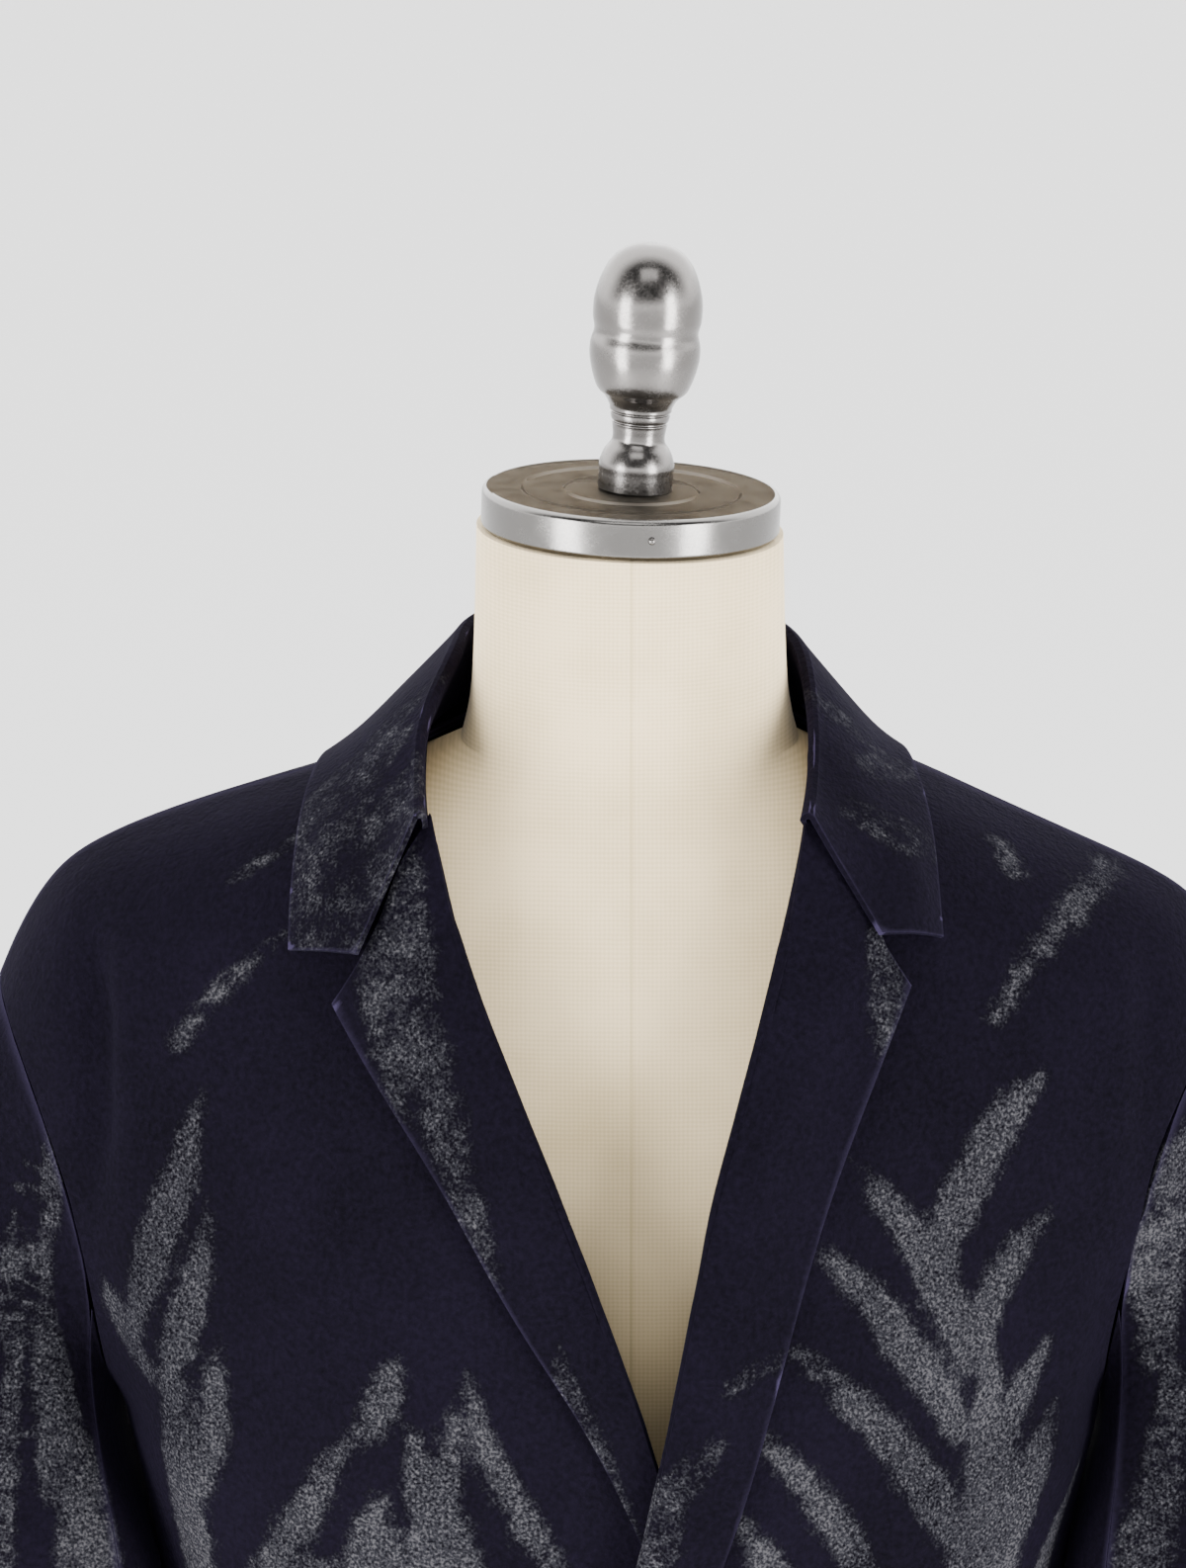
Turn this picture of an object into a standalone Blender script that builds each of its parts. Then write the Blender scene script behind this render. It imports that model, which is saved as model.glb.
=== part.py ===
"""Single-breasted wool overcoat resting on a limbless dress form with a pole and a round base.

Left and right are the wearer's: the right half of the coat is at -X, the left half at +X, and the left
front laps over the right one. The coat faces -Y. All sizes are in millimetres and become metres when a
mesh is made. The origin is the middle of the base's underside.
"""

import math
from collections import namedtuple

import bmesh
import bpy
import numpy as np

MM = 0.001

# ---- driving sizes of the coat ----
WOOL = 2.6  # thickness of the brushed double-faced cloth
SEAM = 0.3  # gap between pieces that are sewn to each other
CENTRE = -4.0  # the coat hangs a little to its right of the form's middle
HEM_Z = 500.0
UNDERARM_Z = 1188.0
SHOULDER_Y = 5.0  # the shoulder seam runs just behind the form's middle
NAPE_Y = 74.0
NAPE_Z = 1481.0
CHEST_ROUNDING = 2.6  # exponent of the chest's curve up to the shoulder
LEAF_GAP = 1.5  # from a front's face to the lapel lying on it
OVERLAP = 22.0  # each front reaches this far past the coat's middle
LAPEL_BULGE = 3.0  # soft roll of a lapel above its front
ROLL_CLEARANCE = 0.9  # extra lift of a lapel where the collar's seam meets it
LAP_LIFT = 3.8  # the left front lies this far outside the right one below the lapels
LAPEL_LIFT = 4.2  # and this much further where the right lapel lies between them
LAPEL_LIFT_Z = 1030.0
LAPEL_LIFT_RISE = 70.0
LAP_END_X = 34.0
LAP_SETTLE = 46.0
CHEST_HALF = 232.0  # rough half width, depth and fullness of the chest, for laying the lapels
CHEST_DEPTH = 165.0
CHEST_FULLNESS = 2.4
SHOULDER_TURN = 42.0  # degrees by which a row's quarter turn stops short at the shoulder
FOLD_START = 190.0  # height over which a fold grows from nothing
FOLD_END = 60.0
NEAR_POINTS = 24  # points of a face averaged for the way out of it
FOLD_RADIUS = 3.8  # outer radius of the collar's top fold
FOLD_TURNS = (180, 140, 90, 45, 8)  # degrees round the collar's top fold
LEAF_SHARES = (0.2, 0.6, 1.0, 1.0)  # how far the leaf's way out follows the face below it
COLLAR_PLACES = ("foot", "fold", "mid", "edge")
SCYE_GAP = 1.2  # from the body's edge to the head of the sleeve set into it
FOOT_GAP = 1.6  # from the body's face to the foot of the collar's stand

# ---- driving sizes of the form and its stand ----
NECK_Y = -5.0
CAP_RADIUS = 62.25
CAP_HEIGHT = 17.0
CAP_Z = 1568.0
CAP_TILT = math.radians(2.0)
KNOB_LEAN = math.radians(4.0)
TORSO_FOOT_Z = 790.0
POLE_RADIUS = 16.0
BASE_RADIUS = 190.0
TORSO_ROUNDNESS = 0.94  # exponent of the form's rings
BUTTON_GAP = 0.6

RIGHT = -1
LEFT = 1
SIDE_NAME = {RIGHT: "right", LEFT: "left"}

Ring = namedtuple("Ring", "z right left front back seam_y fullness")
BODY = (
    Ring(HEM_Z, 238, 226, 172, 158, 6, 2.2),
    Ring(600, 230, 218, 168, 152, 6, 2.2),
    Ring(700, 222, 210, 164, 144, 6, 2.25),
    Ring(800, 214, 202, 160, 136, 6, 2.3),
    Ring(900, 202, 191, 156, 128, 6, 2.35),
    Ring(1000, 196, 185, 153, 123, 6, 2.4),
    Ring(1100, 199, 186, 154, 124, 5, 2.4),
    Ring(1150, 206, 192, 155, 126, 4, 2.4),
    Ring(1188, 215, 201, 156, 128, 3, 2.4),
)

InnerEdge = namedtuple("InnerEdge", "z x")
# front edge up to the break of the lapel, then the roll line, then the neck seam under the collar
INNER_EDGE = {
    RIGHT: (
        InnerEdge(HEM_Z, CENTRE + OVERLAP),
        InnerEdge(1120, CENTRE + OVERLAP),
        InnerEdge(1165, 20),
        InnerEdge(1214, 9.6),
        InnerEdge(1265, -7.4),
        InnerEdge(1326, -30.6),
        InnerEdge(1366, -47.4),
        InnerEdge(1404, -63.4),
        InnerEdge(1444, -78),
        InnerEdge(1462, -84),
        InnerEdge(1475, -85),
    ),
    LEFT: (
        InnerEdge(HEM_Z, CENTRE - OVERLAP),
        InnerEdge(1010, CENTRE - OVERLAP),
        InnerEdge(1060, -22),
        InnerEdge(1110, -11),
        InnerEdge(1167, 2),
        InnerEdge(1220, 13.6),
        InnerEdge(1257, 20.7),
        InnerEdge(1327, 33.4),
        InnerEdge(1366, 44.5),
        InnerEdge(1404, 55),
        InnerEdge(1433, 63.6),
        InnerEdge(1460, 71),
        InnerEdge(1480, 76),
    ),
}
NECK_Z = {RIGHT: 1475.0, LEFT: 1480.0}
BREAK_Z = {RIGHT: 1140.0, LEFT: 1035.0}

Ridge = namedtuple("Ridge", "reach z")
# inner face of the shoulder seam: distance from the form's middle and height
RIDGE = {
    RIGHT: (
        Ridge(85, 1475),
        Ridge(130, 1462),
        Ridge(182, 1446.5),
        Ridge(224, 1430),
        Ridge(241, 1418),
        Ridge(250, 1405),
        Ridge(259, 1388),
        Ridge(266, 1371),
    ),
    LEFT: (
        Ridge(76, 1480),
        Ridge(116, 1465),
        Ridge(151, 1448.5),
        Ridge(193, 1429.5),
        Ridge(227, 1413.5),
        Ridge(240, 1403),
        Ridge(249, 1390),
        Ridge(257, 1369),
    ),
}

Scye = namedtuple("Scye", "at x y z")
# armhole, from the underarm (0) over the front to the shoulder (1) and down the back to the underarm (2)
ARMHOLE = {
    RIGHT: (
        Scye(0.0, -215, 3, 1188),
        Scye(0.25, -220, -48, 1216),
        Scye(0.5, -231, -60, 1284),
        Scye(0.75, -252, -42, 1345),
        Scye(1.0, -266, 5, 1371),
        Scye(1.25, -258, 54, 1348),
        Scye(1.5, -238, 76, 1290),
        Scye(1.75, -220, 60, 1222),
        Scye(2.0, -215, 3, 1188),
    ),
    LEFT: (
        Scye(0.0, 201, 3, 1188),
        Scye(0.25, 199, -56, 1218),
        Scye(0.5, 212, -70, 1288),
        Scye(0.75, 234, -50, 1348),
        Scye(1.0, 257, 5, 1369),
        Scye(1.25, 250, 54, 1346),
        Scye(1.5, 228, 76, 1290),
        Scye(1.75, 208, 60, 1222),
        Scye(2.0, 201, 3, 1188),
    ),
}

NeckSeam = namedtuple("NeckSeam", "share y z")
# back neck seam as a share of the way from the nape to the neck point
NECK_SEAM = (
    NeckSeam(0.0, 74, 1481),
    NeckSeam(0.4, 70.5, 1481),
    NeckSeam(0.75, 56, 1480),
    NeckSeam(1.0, 5, 1478),
)

Sleeve = namedtuple("Sleeve", "z reach y half_x half_y")
SLEEVE = {
    RIGHT: (
        Sleeve(1105, 257, -30, 57, 80),
        Sleeve(1000, 250, -36, 52, 74),
        Sleeve(900, 249, -48, 47, 67),
        Sleeve(812, 252, -60, 44, 61),
    ),
    LEFT: (
        Sleeve(1105, 244, -30, 57, 82),
        Sleeve(1000, 239, -36, 52, 75),
        Sleeve(900, 238, -48, 47, 67),
        Sleeve(812, 241, -60, 44, 61),
    ),
}
SLEEVE_TWIST = 0.26  # the front of each sleeve leans in over the body
BACK_TWIST = -0.6  # and its back leans in too, by this share of that lean
UNDERARM_WAY = (0.08, 0.0, -0.99)  # way down from the underarm; x is away from the body
SLEEVE_REST = 1.4  # from the body's face to a sleeve lying against it
SLEEVE_FREE_Z = 1176.0  # below this height a sleeve is kept off the body
SLEEVE_SQUARENESS = 0.85
SLEEVE_SPLIT = 0.46  # share of a sleeve's length above its highest ring
SLEEVE_SEAMS = (0.36, 1.64)  # places of the sleeve's two seams round the armhole

Fold = namedtuple("Fold", "share_top share_low z_top z_low height width")
# soft folds: share of the way round from the panel's inner edge to its side, heights, and size
FRONT_FOLDS = {
    RIGHT: (
        Fold(0.90, 0.84, 1400, 1130, 7.0, 0.055),
        Fold(0.55, 0.62, 1000, 470, 9.0, 0.09),
        Fold(0.84, 0.90, 1120, 470, 8.0, 0.06),
    ),
    LEFT: (
        Fold(0.93, 0.86, 1390, 1130, 5.0, 0.05),
        Fold(0.60, 0.66, 1010, 470, 9.0, 0.09),
        Fold(0.86, 0.91, 1110, 470, 8.0, 0.06),
    ),
}
BACK_FOLDS = {
    RIGHT: (
        Fold(0.88, 0.80, 1380, 1020, 8.0, 0.06),
        Fold(0.34, 0.42, 1120, 470, 10.0, 0.09),
        Fold(0.74, 0.80, 1040, 470, 9.0, 0.07),
    ),
    LEFT: (
        Fold(0.90, 0.83, 1370, 1040, 8.0, 0.06),
        Fold(0.28, 0.38, 1140, 470, 10.0, 0.09),
        Fold(0.70, 0.78, 1060, 470, 9.0, 0.07),
    ),
}

Crease = namedtuple("Crease", "at_top at_low along_top along_low height width")
# folds of each sleeve: places round it, heights along it, and size
SLEEVE_CREASES = (
    Crease(0.62, 0.52, 0.20, 0.62, 5.0, 0.10),
    Crease(1.30, 1.42, 0.25, 0.70, 6.0, 0.11),
    Crease(0.30, 0.95, 0.66, 0.78, 4.0, 0.16),
    Crease(1.70, 1.15, 0.72, 0.86, 4.0, 0.16),
)

LapelRow = namedtuple("LapelRow", "along edge_x edge_z")
# outer edge of each lapel, from the gorge seam (0) down to the break (1)
LAPEL = {
    RIGHT: (
        LapelRow(0.0, -123.5, 1396),
        LapelRow(0.06, -116.5, 1380),
        LapelRow(0.16, -97.3, 1354),
        LapelRow(0.26, -79.4, 1329),
        LapelRow(0.44, -55.5, 1286),
        LapelRow(0.54, -43.0, 1265),
        LapelRow(0.70, -19.0, 1228),
        LapelRow(0.86, 2.5, 1184),
        LapelRow(1.0, 17.0, 1143),
    ),
    LEFT: (
        LapelRow(0.0, 116.9, 1403),
        LapelRow(0.10, 106.0, 1378),
        LapelRow(0.28, 84.5, 1327),
        LapelRow(0.50, 60.8, 1258),
        LapelRow(0.74, 34.5, 1168),
        LapelRow(0.90, 4.0, 1085),
        LapelRow(1.0, -20.0, 1038),
    ),
}
GorgePoint = namedtuple("GorgePoint", "name x y z")
# from the roll line along the gorge seam to the notch, and on along the lapel's top edge to its tip
GORGE = {
    RIGHT: (
        GorgePoint("roll", -80.0, -94, 1450),
        GorgePoint("gorge", -99.0, -112, 1432),
        GorgePoint("notch", -110.5, -119, 1413),
        GorgePoint("tip", -123.5, -124, 1396),
    ),
    LEFT: (
        GorgePoint("roll", 68.5, -96, 1450),
        GorgePoint("gorge", 91.0, -111, 1438),
        GorgePoint("notch", 104.0, -119, 1420),
        GorgePoint("tip", 116.9, -125, 1403.4),
    ),
}

Collar = namedtuple(
    "Collar",
    "along foot_x foot_y foot_z fold_x fold_y fold_z mid_x mid_y mid_z edge_x edge_y edge_z",
)
# collar from its front end (0) to the middle of the back (1): neck seam, top fold, middle and outer edge
COLLAR = {
    RIGHT: (
        Collar(0.0, -84, -84, 1459, -86, -98, 1471, -112, -115, 1416, -142.5, -100, 1414.5),
        Collar(0.14, -86, -60, 1466, -87, -70, 1481, -114, -98, 1439, -143, -92, 1430),
        Collar(0.28, -86, -34, 1472, -86.5, -46, 1495, -114, -70, 1462, -140, -68, 1449.6),
        Collar(0.46, -84, 4, 1476, -73, 0, 1517, -103, -2, 1491, -130, 0, 1464.2),
        Collar(0.62, -77, 38, 1479, -70, 30, 1521, -97, 40, 1491, -121, 48, 1463),
        Collar(0.72, -63, 57, 1480, -59, 48, 1523, -82, 64, 1492, -101, 76, 1464),
        Collar(0.82, -45, 67, 1481, -44, 62, 1525, -60, 82, 1493, -73, 95, 1465),
        Collar(0.91, -25, 72, 1481, -25, 71, 1526, -33, 93, 1495, -40, 105, 1465),
        Collar(1.0, CENTRE, 75, 1481, CENTRE, 76, 1527, CENTRE, 97, 1495, CENTRE, 109, 1465),
    ),
    LEFT: (
        Collar(0.0, 72, -84, 1461, 72, -99, 1471, 102, -113, 1424, 132.1, -100, 1421.2),
        Collar(0.14, 75, -62, 1468, 75, -70, 1481, 104, -96, 1446, 132, -94, 1433),
        Collar(0.28, 77, -34, 1476, 76, -46, 1494, 102, -70, 1466, 128, -70, 1449),
        Collar(0.46, 77, 4, 1481, 73.7, 0, 1513, 95, -2, 1489, 116, 0, 1467),
        Collar(0.62, 70, 38, 1482, 67, 30, 1519, 91, 42, 1490, 110, 52, 1465),
        Collar(0.72, 56, 57, 1482, 54, 48, 1522, 75, 65, 1492, 91, 78, 1465),
        Collar(0.82, 40, 67, 1482, 39, 62, 1524, 53, 83, 1493, 64, 96, 1465),
        Collar(0.91, 18, 72, 1481, 18, 71, 1526, 25, 93, 1495, 31, 106, 1465),
        Collar(1.0, CENTRE, 75, 1481, CENTRE, 76, 1527, CENTRE, 97, 1495, CENTRE, 109, 1465),
    ),
}

TorsoRing = namedtuple("TorsoRing", "z half front back")
TORSO = (
    TorsoRing(790, 150, 92, 100),
    TorsoRing(800, 160, 102, 110),
    TorsoRing(880, 168, 108, 116),
    TorsoRing(960, 158, 102, 106),
    TorsoRing(1040, 150, 100, 98),
    TorsoRing(1130, 158, 108, 102),
    TorsoRing(1220, 168, 116, 108),
    TorsoRing(1300, 174, 114, 112),
    TorsoRing(1360, 180, 106, 108),
    TorsoRing(1400, 184, 93, 99),
    TorsoRing(1424, 181, 83, 89),
    TorsoRing(1437, 167.5, 77, 81),
    TorsoRing(1447, 148.5, 71, 71),
    TorsoRing(1455, 130.5, 67, 64),
    TorsoRing(1463, 111.5, 63, 58),
    TorsoRing(1470.4, 91, 61, 54),
    TorsoRing(1478.4, 71.5, 61, 54),
    TorsoRing(1494, 67, 62, 57),
    TorsoRing(1520, 65.5, 66, 60),
    TorsoRing(1567.7, 64.5, 69, 59),
)

Turned = namedtuple("Turned", "height radius")
# knob: half widths by height above the cap
KNOB = (
    Turned(0, 15.6),
    Turned(11, 15.6),
    Turned(16, 13.8),
    Turned(20.5, 11.0),
    Turned(26, 11.3),
    Turned(31, 12.4),
    Turned(35, 13.2),
    Turned(38.5, 15.2),
    Turned(42, 18.8),
    Turned(48, 21.2),
    Turned(55, 22.8),
    Turned(61, 22.8),
    Turned(66.5, 21.6),
    Turned(72, 22.6),
    Turned(80, 22.4),
    Turned(88, 20.3),
    Turned(95, 17.0),
    Turned(100, 12.0),
    Turned(102.5, 6.0),
)
CAP_STEPS = (
    Turned(0, 60.5),
    Turned(1.6, 62.25),
    Turned(15.4, 62.25),
    Turned(17, 60.8),
    Turned(17, 46.0),
    Turned(15.9, 45.0),
    Turned(15.9, 28.4),
    Turned(16.9, 27.4),
)
BASE_PROFILE = (
    Turned(0, BASE_RADIUS - 3),
    Turned(2, BASE_RADIUS),
    Turned(12, BASE_RADIUS),
    Turned(15, BASE_RADIUS - 3),
    Turned(19, 120),
    Turned(25, 60),
    Turned(38, 36),
    Turned(62, 30),
)
FLANGE = (
    Turned(0, 22),
    Turned(18, 24),
    Turned(20, 52),
    Turned(25.7, 52),
)
BUTTON_PROFILE = (
    Turned(0, 10.0),
    Turned(1.2, 13.4),
    Turned(3.4, 14.0),
    Turned(4.4, 13.0),
    Turned(4.4, 11.6),
    Turned(3.4, 10.2),
)
BUTTON_HEIGHTS = (1008.0, 896.0, 784.0)
PIN_PLACE = (8.6, NECK_Y - CAP_RADIUS + 0.3, CAP_Z + 8.5)
KNOB_PLACE = (2.0, NECK_Y, CAP_Z + CAP_HEIGHT + 0.55)
FORWARD_AXIS = np.array([[1, 0, 0], [0, 0, 1], [0, -1, 0]], float)  # turns a profile's axis to -Y

Finish = namedtuple("Finish", "name colour roughness metallic")
WOOL_FINISH = Finish("brushed_wool", (0.012, 0.010, 0.024, 1), 0.95, 0.0)
MUSLIN = Finish("cream_muslin", (0.72, 0.66, 0.54, 1), 0.85, 0.0)
ALUMINIUM = Finish("polished_aluminium", (0.62, 0.62, 0.64, 1), 0.28, 1.0)
POLE_STEEL = Finish("satin_steel", (0.5, 0.5, 0.52, 1), 0.35, 1.0)
BASE_PAINT = Finish("grey_painted_iron", (0.30, 0.30, 0.32, 1), 0.5, 0.0)
HORN = Finish("dark_horn", (0.02, 0.018, 0.03, 1), 0.35, 0.0)

SKIRT_ROWS = (HEM_Z, 590, 680, 770, 860, 945, 1010, 1060, 1105, 1148)
UPPER_ROWS = 13
FRONT_COLUMNS = 12
BACK_COLUMNS = 12
SLEEVE_UPPER_COLUMNS = 13
SLEEVE_UNDER_COLUMNS = 9


# ---- curves ----
class Curves:
    """Smooth, never overshooting curves through the columns of a table, read by its key column."""

    def __init__(self, rows, key):
        self.rows = sorted(rows, key=lambda row: getattr(row, key))
        self.keys = np.array([getattr(r, key) for r in self.rows], float)

    def __call__(self, column, at):
        values = np.array([getattr(r, column) for r in self.rows], float)
        at = np.clip(np.asarray(at, float), self.keys[0], self.keys[-1])
        step = np.diff(self.keys)
        slope = np.diff(values) / step
        tangent = np.zeros(len(values))
        tangent[0] = slope[0]
        tangent[-1] = slope[-1]
        for i in range(1, len(values) - 1):
            if slope[i - 1] * slope[i] > 0:
                tangent[i] = 2 * slope[i - 1] * slope[i] / (slope[i - 1] + slope[i])
        i = np.clip(np.searchsorted(self.keys, at, side="right") - 1, 0, len(step) - 1)
        s = (at - self.keys[i]) / step[i]
        start = (1 + 2 * s) * (1 - s) ** 2 * values[i] + s * (1 - s) ** 2 * step[i] * tangent[i]
        end = s * s * (3 - 2 * s) * values[i + 1] + s * s * (s - 1) * step[i] * tangent[i + 1]
        return start + end


BODY_AT = Curves(BODY, "z")
INNER_AT = {side: Curves(rows, "z") for side, rows in INNER_EDGE.items()}
RIDGE_AT = {side: Curves(rows, "reach") for side, rows in RIDGE.items()}
SCYE_AT = {side: Curves(rows, "at") for side, rows in ARMHOLE.items()}
NECK_AT = Curves(NECK_SEAM, "share")


def smooth_step(value):
    """0 below 0, 1 above 1 and a soft S between."""
    value = np.clip(value, 0, 1)
    return value * value * (3 - 2 * value)


# ---- the coat's body surface ----
def overlap_lift(side, x, z):
    """How far the left front lies outside the right one where they lap, and how it settles beyond."""
    if side == RIGHT:
        return 0 * x
    height = LAP_LIFT + LAPEL_LIFT * smooth_step((z - LAPEL_LIFT_Z) / LAPEL_LIFT_RISE)
    return height * (1 - smooth_step((x - LAP_END_X) / LAP_SETTLE))


def body_row(side, part, level, shares):
    """Points of one row of a front or back half, from its inner edge (share 0) to its side (share 1).

    Below the underarm the level is a height; above it, level - UNDERARM_Z is the share of the armhole.
    """
    front = part == "front"
    rise = max(0.0, level - UNDERARM_Z)
    z_low = min(level, UNDERARM_Z)
    fullness = float(BODY_AT("fullness", z_low))
    depth = -BODY_AT("front", z_low) if front else BODY_AT("back", z_low)
    turn = rise * math.pi / 2
    inward = math.cos(turn) ** (2 / CHEST_ROUNDING) if rise < 1 else 0.0
    upward = math.sin(turn) ** (2 / CHEST_ROUNDING)
    top_y = SHOULDER_Y if front else NAPE_Y
    top_z = NECK_Z[side] if front else NAPE_Z
    if rise > 0:
        at = rise if front else 2 - rise
        side_x, side_y, side_z = (float(SCYE_AT[side](c, at)) for c in ("x", "y", "z"))
        inner_z = UNDERARM_Z + (top_z - UNDERARM_Z) * upward
        centre_y = top_y + (depth - top_y) * inward
    else:
        side_x = side * float(BODY_AT(SIDE_NAME[side], z_low))
        side_y = float(BODY_AT("seam_y", z_low))
        side_z = inner_z = level
        centre_y = depth
    inner_x = float(INNER_AT[side]("x", inner_z)) if front else CENTRE
    # the row is a stretch of a superellipse round the body
    end = math.sin(math.radians(90 - SHOULDER_TURN * math.sin(turn))) ** (2 / fullness)
    half = abs(side_x - CENTRE) / end
    start = (inner_x - CENTRE) * side / half
    across = start + shares * (end - start)
    bulge = (1 - np.minimum(1, np.abs(across)) ** fullness) ** (1 / fullness)
    bulge_end = max(0.0, 1 - end**fullness) ** (1 / fullness)
    share_y = (bulge - bulge_end) / (1 - bulge_end)
    x = CENTRE + side * half * across
    y = side_y + (centre_y - side_y) * share_y
    z = inner_z + (side_z - inner_z) * shares
    if rise > 0:
        top_x, top_row_y, top_row_z = top_edge(side, part, shares)
        side_top = RIDGE[side][-1].z
        z = z + (top_row_z - (top_z + (side_top - top_z) * shares)) * upward
        y = y + (top_row_y - (SHOULDER_Y + (top_y - SHOULDER_Y) * share_y)) * rise**2
        straight = top_x[0] + (top_x[-1] - top_x[0]) * shares
        x = x + (top_x - straight) * rise**2
    y = y - overlap_lift(side, x, z) if front else y
    return np.stack([x, y, z], 1)


def top_edge(side, part, shares):
    """The shoulder seam, after the neck seam on the back, at each share of the way out to the armhole."""
    outer = RIDGE[side][-1].reach
    neck = RIDGE[side][0].reach
    if part == "front":
        reach = neck + (outer - neck) * shares
        return side * reach, np.full_like(reach, SHOULDER_Y), RIDGE_AT[side]("z", reach)
    neck_share = neck / outer
    reach = outer * shares
    in_neck = shares < neck_share
    along = np.clip(shares / neck_share, 0, 1)
    height = NECK_Z[side] - NECK_SEAM[-1].z
    y = np.where(in_neck, NECK_AT("y", along), SHOULDER_Y)
    z = np.where(in_neck, NECK_AT("z", along) + height * along, RIDGE_AT[side]("z", reach))
    x = np.where(in_neck, CENTRE + (side * neck - CENTRE) * along, side * reach)
    return x, y, z


def levels(skirt, upper):
    """Levels of the rows: heights up to the underarm, then shares of the armhole added to its height."""
    shares = [(k / upper) ** 1.25 for k in range(upper + 1)]
    return list(skirt) + [UNDERARM_Z + s for s in shares]


def even_turn(count, first=0.0):
    """Shares that lie closer together towards the side, where the body turns."""
    return np.sin(np.linspace(first, math.pi / 2, count)) ** 0.9


def normals(grid):
    """Unit normals of a grid of points, each from its neighbours."""
    down = np.gradient(grid, axis=0)
    across = np.gradient(grid, axis=1)
    normal = np.cross(across, down)
    return normal / np.maximum(1e-9, np.linalg.norm(normal, axis=2, keepdims=True))


def ripple(grid, folds, shares):
    """Moves a body grid outward where its folds run."""
    out = outward(grid, "body")
    height = np.zeros(grid.shape[:2])
    for fold in folds:
        z = grid[:, :, 2]
        down = np.clip((fold.z_top - z) / (fold.z_top - fold.z_low), 0, 1)
        place = fold.share_top + (fold.share_low - fold.share_top) * down
        grow = smooth_step((fold.z_top - z) / FOLD_START) * smooth_step((z - fold.z_low) / FOLD_END)
        height += fold.height * grow * np.exp(-(((shares[None, :] - place) / fold.width) ** 2))
    return grid + out * height[:, :, None]


def outward(grid, kind):
    """Normals that point away from the body's middle, or away from the sleeve's own middle line."""
    out = normals(grid)
    middle = grid.mean(axis=(0, 1))
    if kind == "body":
        middle = np.array([CENTRE, 0.0, 1100.0])
    sign = np.sign(np.sum((grid - middle) * out, axis=2).sum())
    return out * sign


def panel(side, part, row_levels, shares):
    """Inner face of a front or of one half of the back."""
    grid = np.array([body_row(side, part, level, shares) for level in row_levels])
    return ripple(grid, (FRONT_FOLDS if part == "front" else BACK_FOLDS)[side], shares)


class Face:
    """Closely spaced points and normals of the outer face of panels, for pieces that lie on them."""

    def __init__(self, grids):
        points = []
        directions = []
        for grid in grids:
            out = outward(grid, "body")
            points.append((grid + WOOL * out).reshape(-1, 3))
            directions.append(out.reshape(-1, 3))
        self.points = np.concatenate(points)
        self.directions = np.concatenate(directions)

    def beside(self, target):
        """The nearest point of the face, and the normal averaged over the few nearest."""
        away = np.sum((self.points - target) ** 2, axis=1)
        few = np.argpartition(away, NEAR_POINTS)[:NEAR_POINTS]
        normal = (1 / (away[few] + 4.0)) @ self.directions[few]
        return self.points[int(np.argmin(away))], normal / np.linalg.norm(normal)

    def lay(self, target, lift, only_if_below=False):
        """The target moved along the nearest normal until it is lifted off the face by lift."""
        nearest, normal = self.beside(target)
        height = float(np.dot(target - nearest, normal))
        if only_if_below and height >= lift:
            return target
        return target + normal * (lift - height)


def face_of(side):
    """Outer face of one side of the coat's body down to the height of the cuffs."""
    rows = [785 + 15 * k for k in range(27)] + [UNDERARM_Z + (k / 60) ** 1.1 for k in range(61)]
    shares = even_turn(70)
    grids = [panel(side, "front", rows, shares), panel(side, "back", rows, shares)]
    return Face(grids)


# ---- meshes ----
def finish_material(finish):
    """One material for a finish, made once."""
    material = bpy.data.materials.get(finish.name)
    if material is None:
        material = bpy.data.materials.new(finish.name)
        material.use_nodes = True
        shader = material.node_tree.nodes["Principled BSDF"]
        shader.inputs["Base Color"].default_value = finish.colour
        shader.inputs["Roughness"].default_value = finish.roughness
        shader.inputs["Metallic"].default_value = finish.metallic
    return material


def add_object(name, vertices, faces, finish):
    """One closed body from points in millimetres, its faces turned out."""
    mesh = bpy.data.meshes.new(name)
    mesh.from_pydata([tuple(float(c) * MM for c in v) for v in vertices], [], faces)
    body = bmesh.new()
    body.from_mesh(mesh)
    bmesh.ops.triangulate(body, faces=[f for f in body.faces if len(f.verts) == 4])
    bmesh.ops.recalc_face_normals(body, faces=body.faces)
    body.to_mesh(mesh)
    body.free()
    mesh.materials.append(finish_material(finish))
    mesh.shade_smooth()
    mesh.set_sharp_from_angle(angle=math.radians(40))
    thing = bpy.data.objects.new(name, mesh)
    bpy.context.scene.collection.objects.link(thing)
    return thing


def wall(name, one, other, finish=WOOL_FINISH):
    """A closed cloth wall between two faces given as grids of points."""
    rows, columns = one.shape[:2]
    count = rows * columns
    vertices = list(one.reshape(-1, 3)) + list(other.reshape(-1, 3))
    faces = []
    for r in range(rows - 1):
        for c in range(columns - 1):
            a = r * columns + c
            faces.append((a, a + 1, a + columns + 1, a + columns))
            faces.append((count + a, count + a + columns, count + a + columns + 1, count + a + 1))
    rim = [(0, c) for c in range(columns)] + [(r, columns - 1) for r in range(1, rows)]
    rim += [(rows - 1, c) for c in range(columns - 2, -1, -1)] + [(r, 0) for r in range(rows - 2, 0, -1)]
    for (r0, c0), (r1, c1) in zip(rim, rim[1:] + rim[:1]):
        a = r0 * columns + c0
        b = r1 * columns + c1
        faces.append((a, count + a, count + b, b))
    return add_object(name, vertices, faces, finish)


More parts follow.
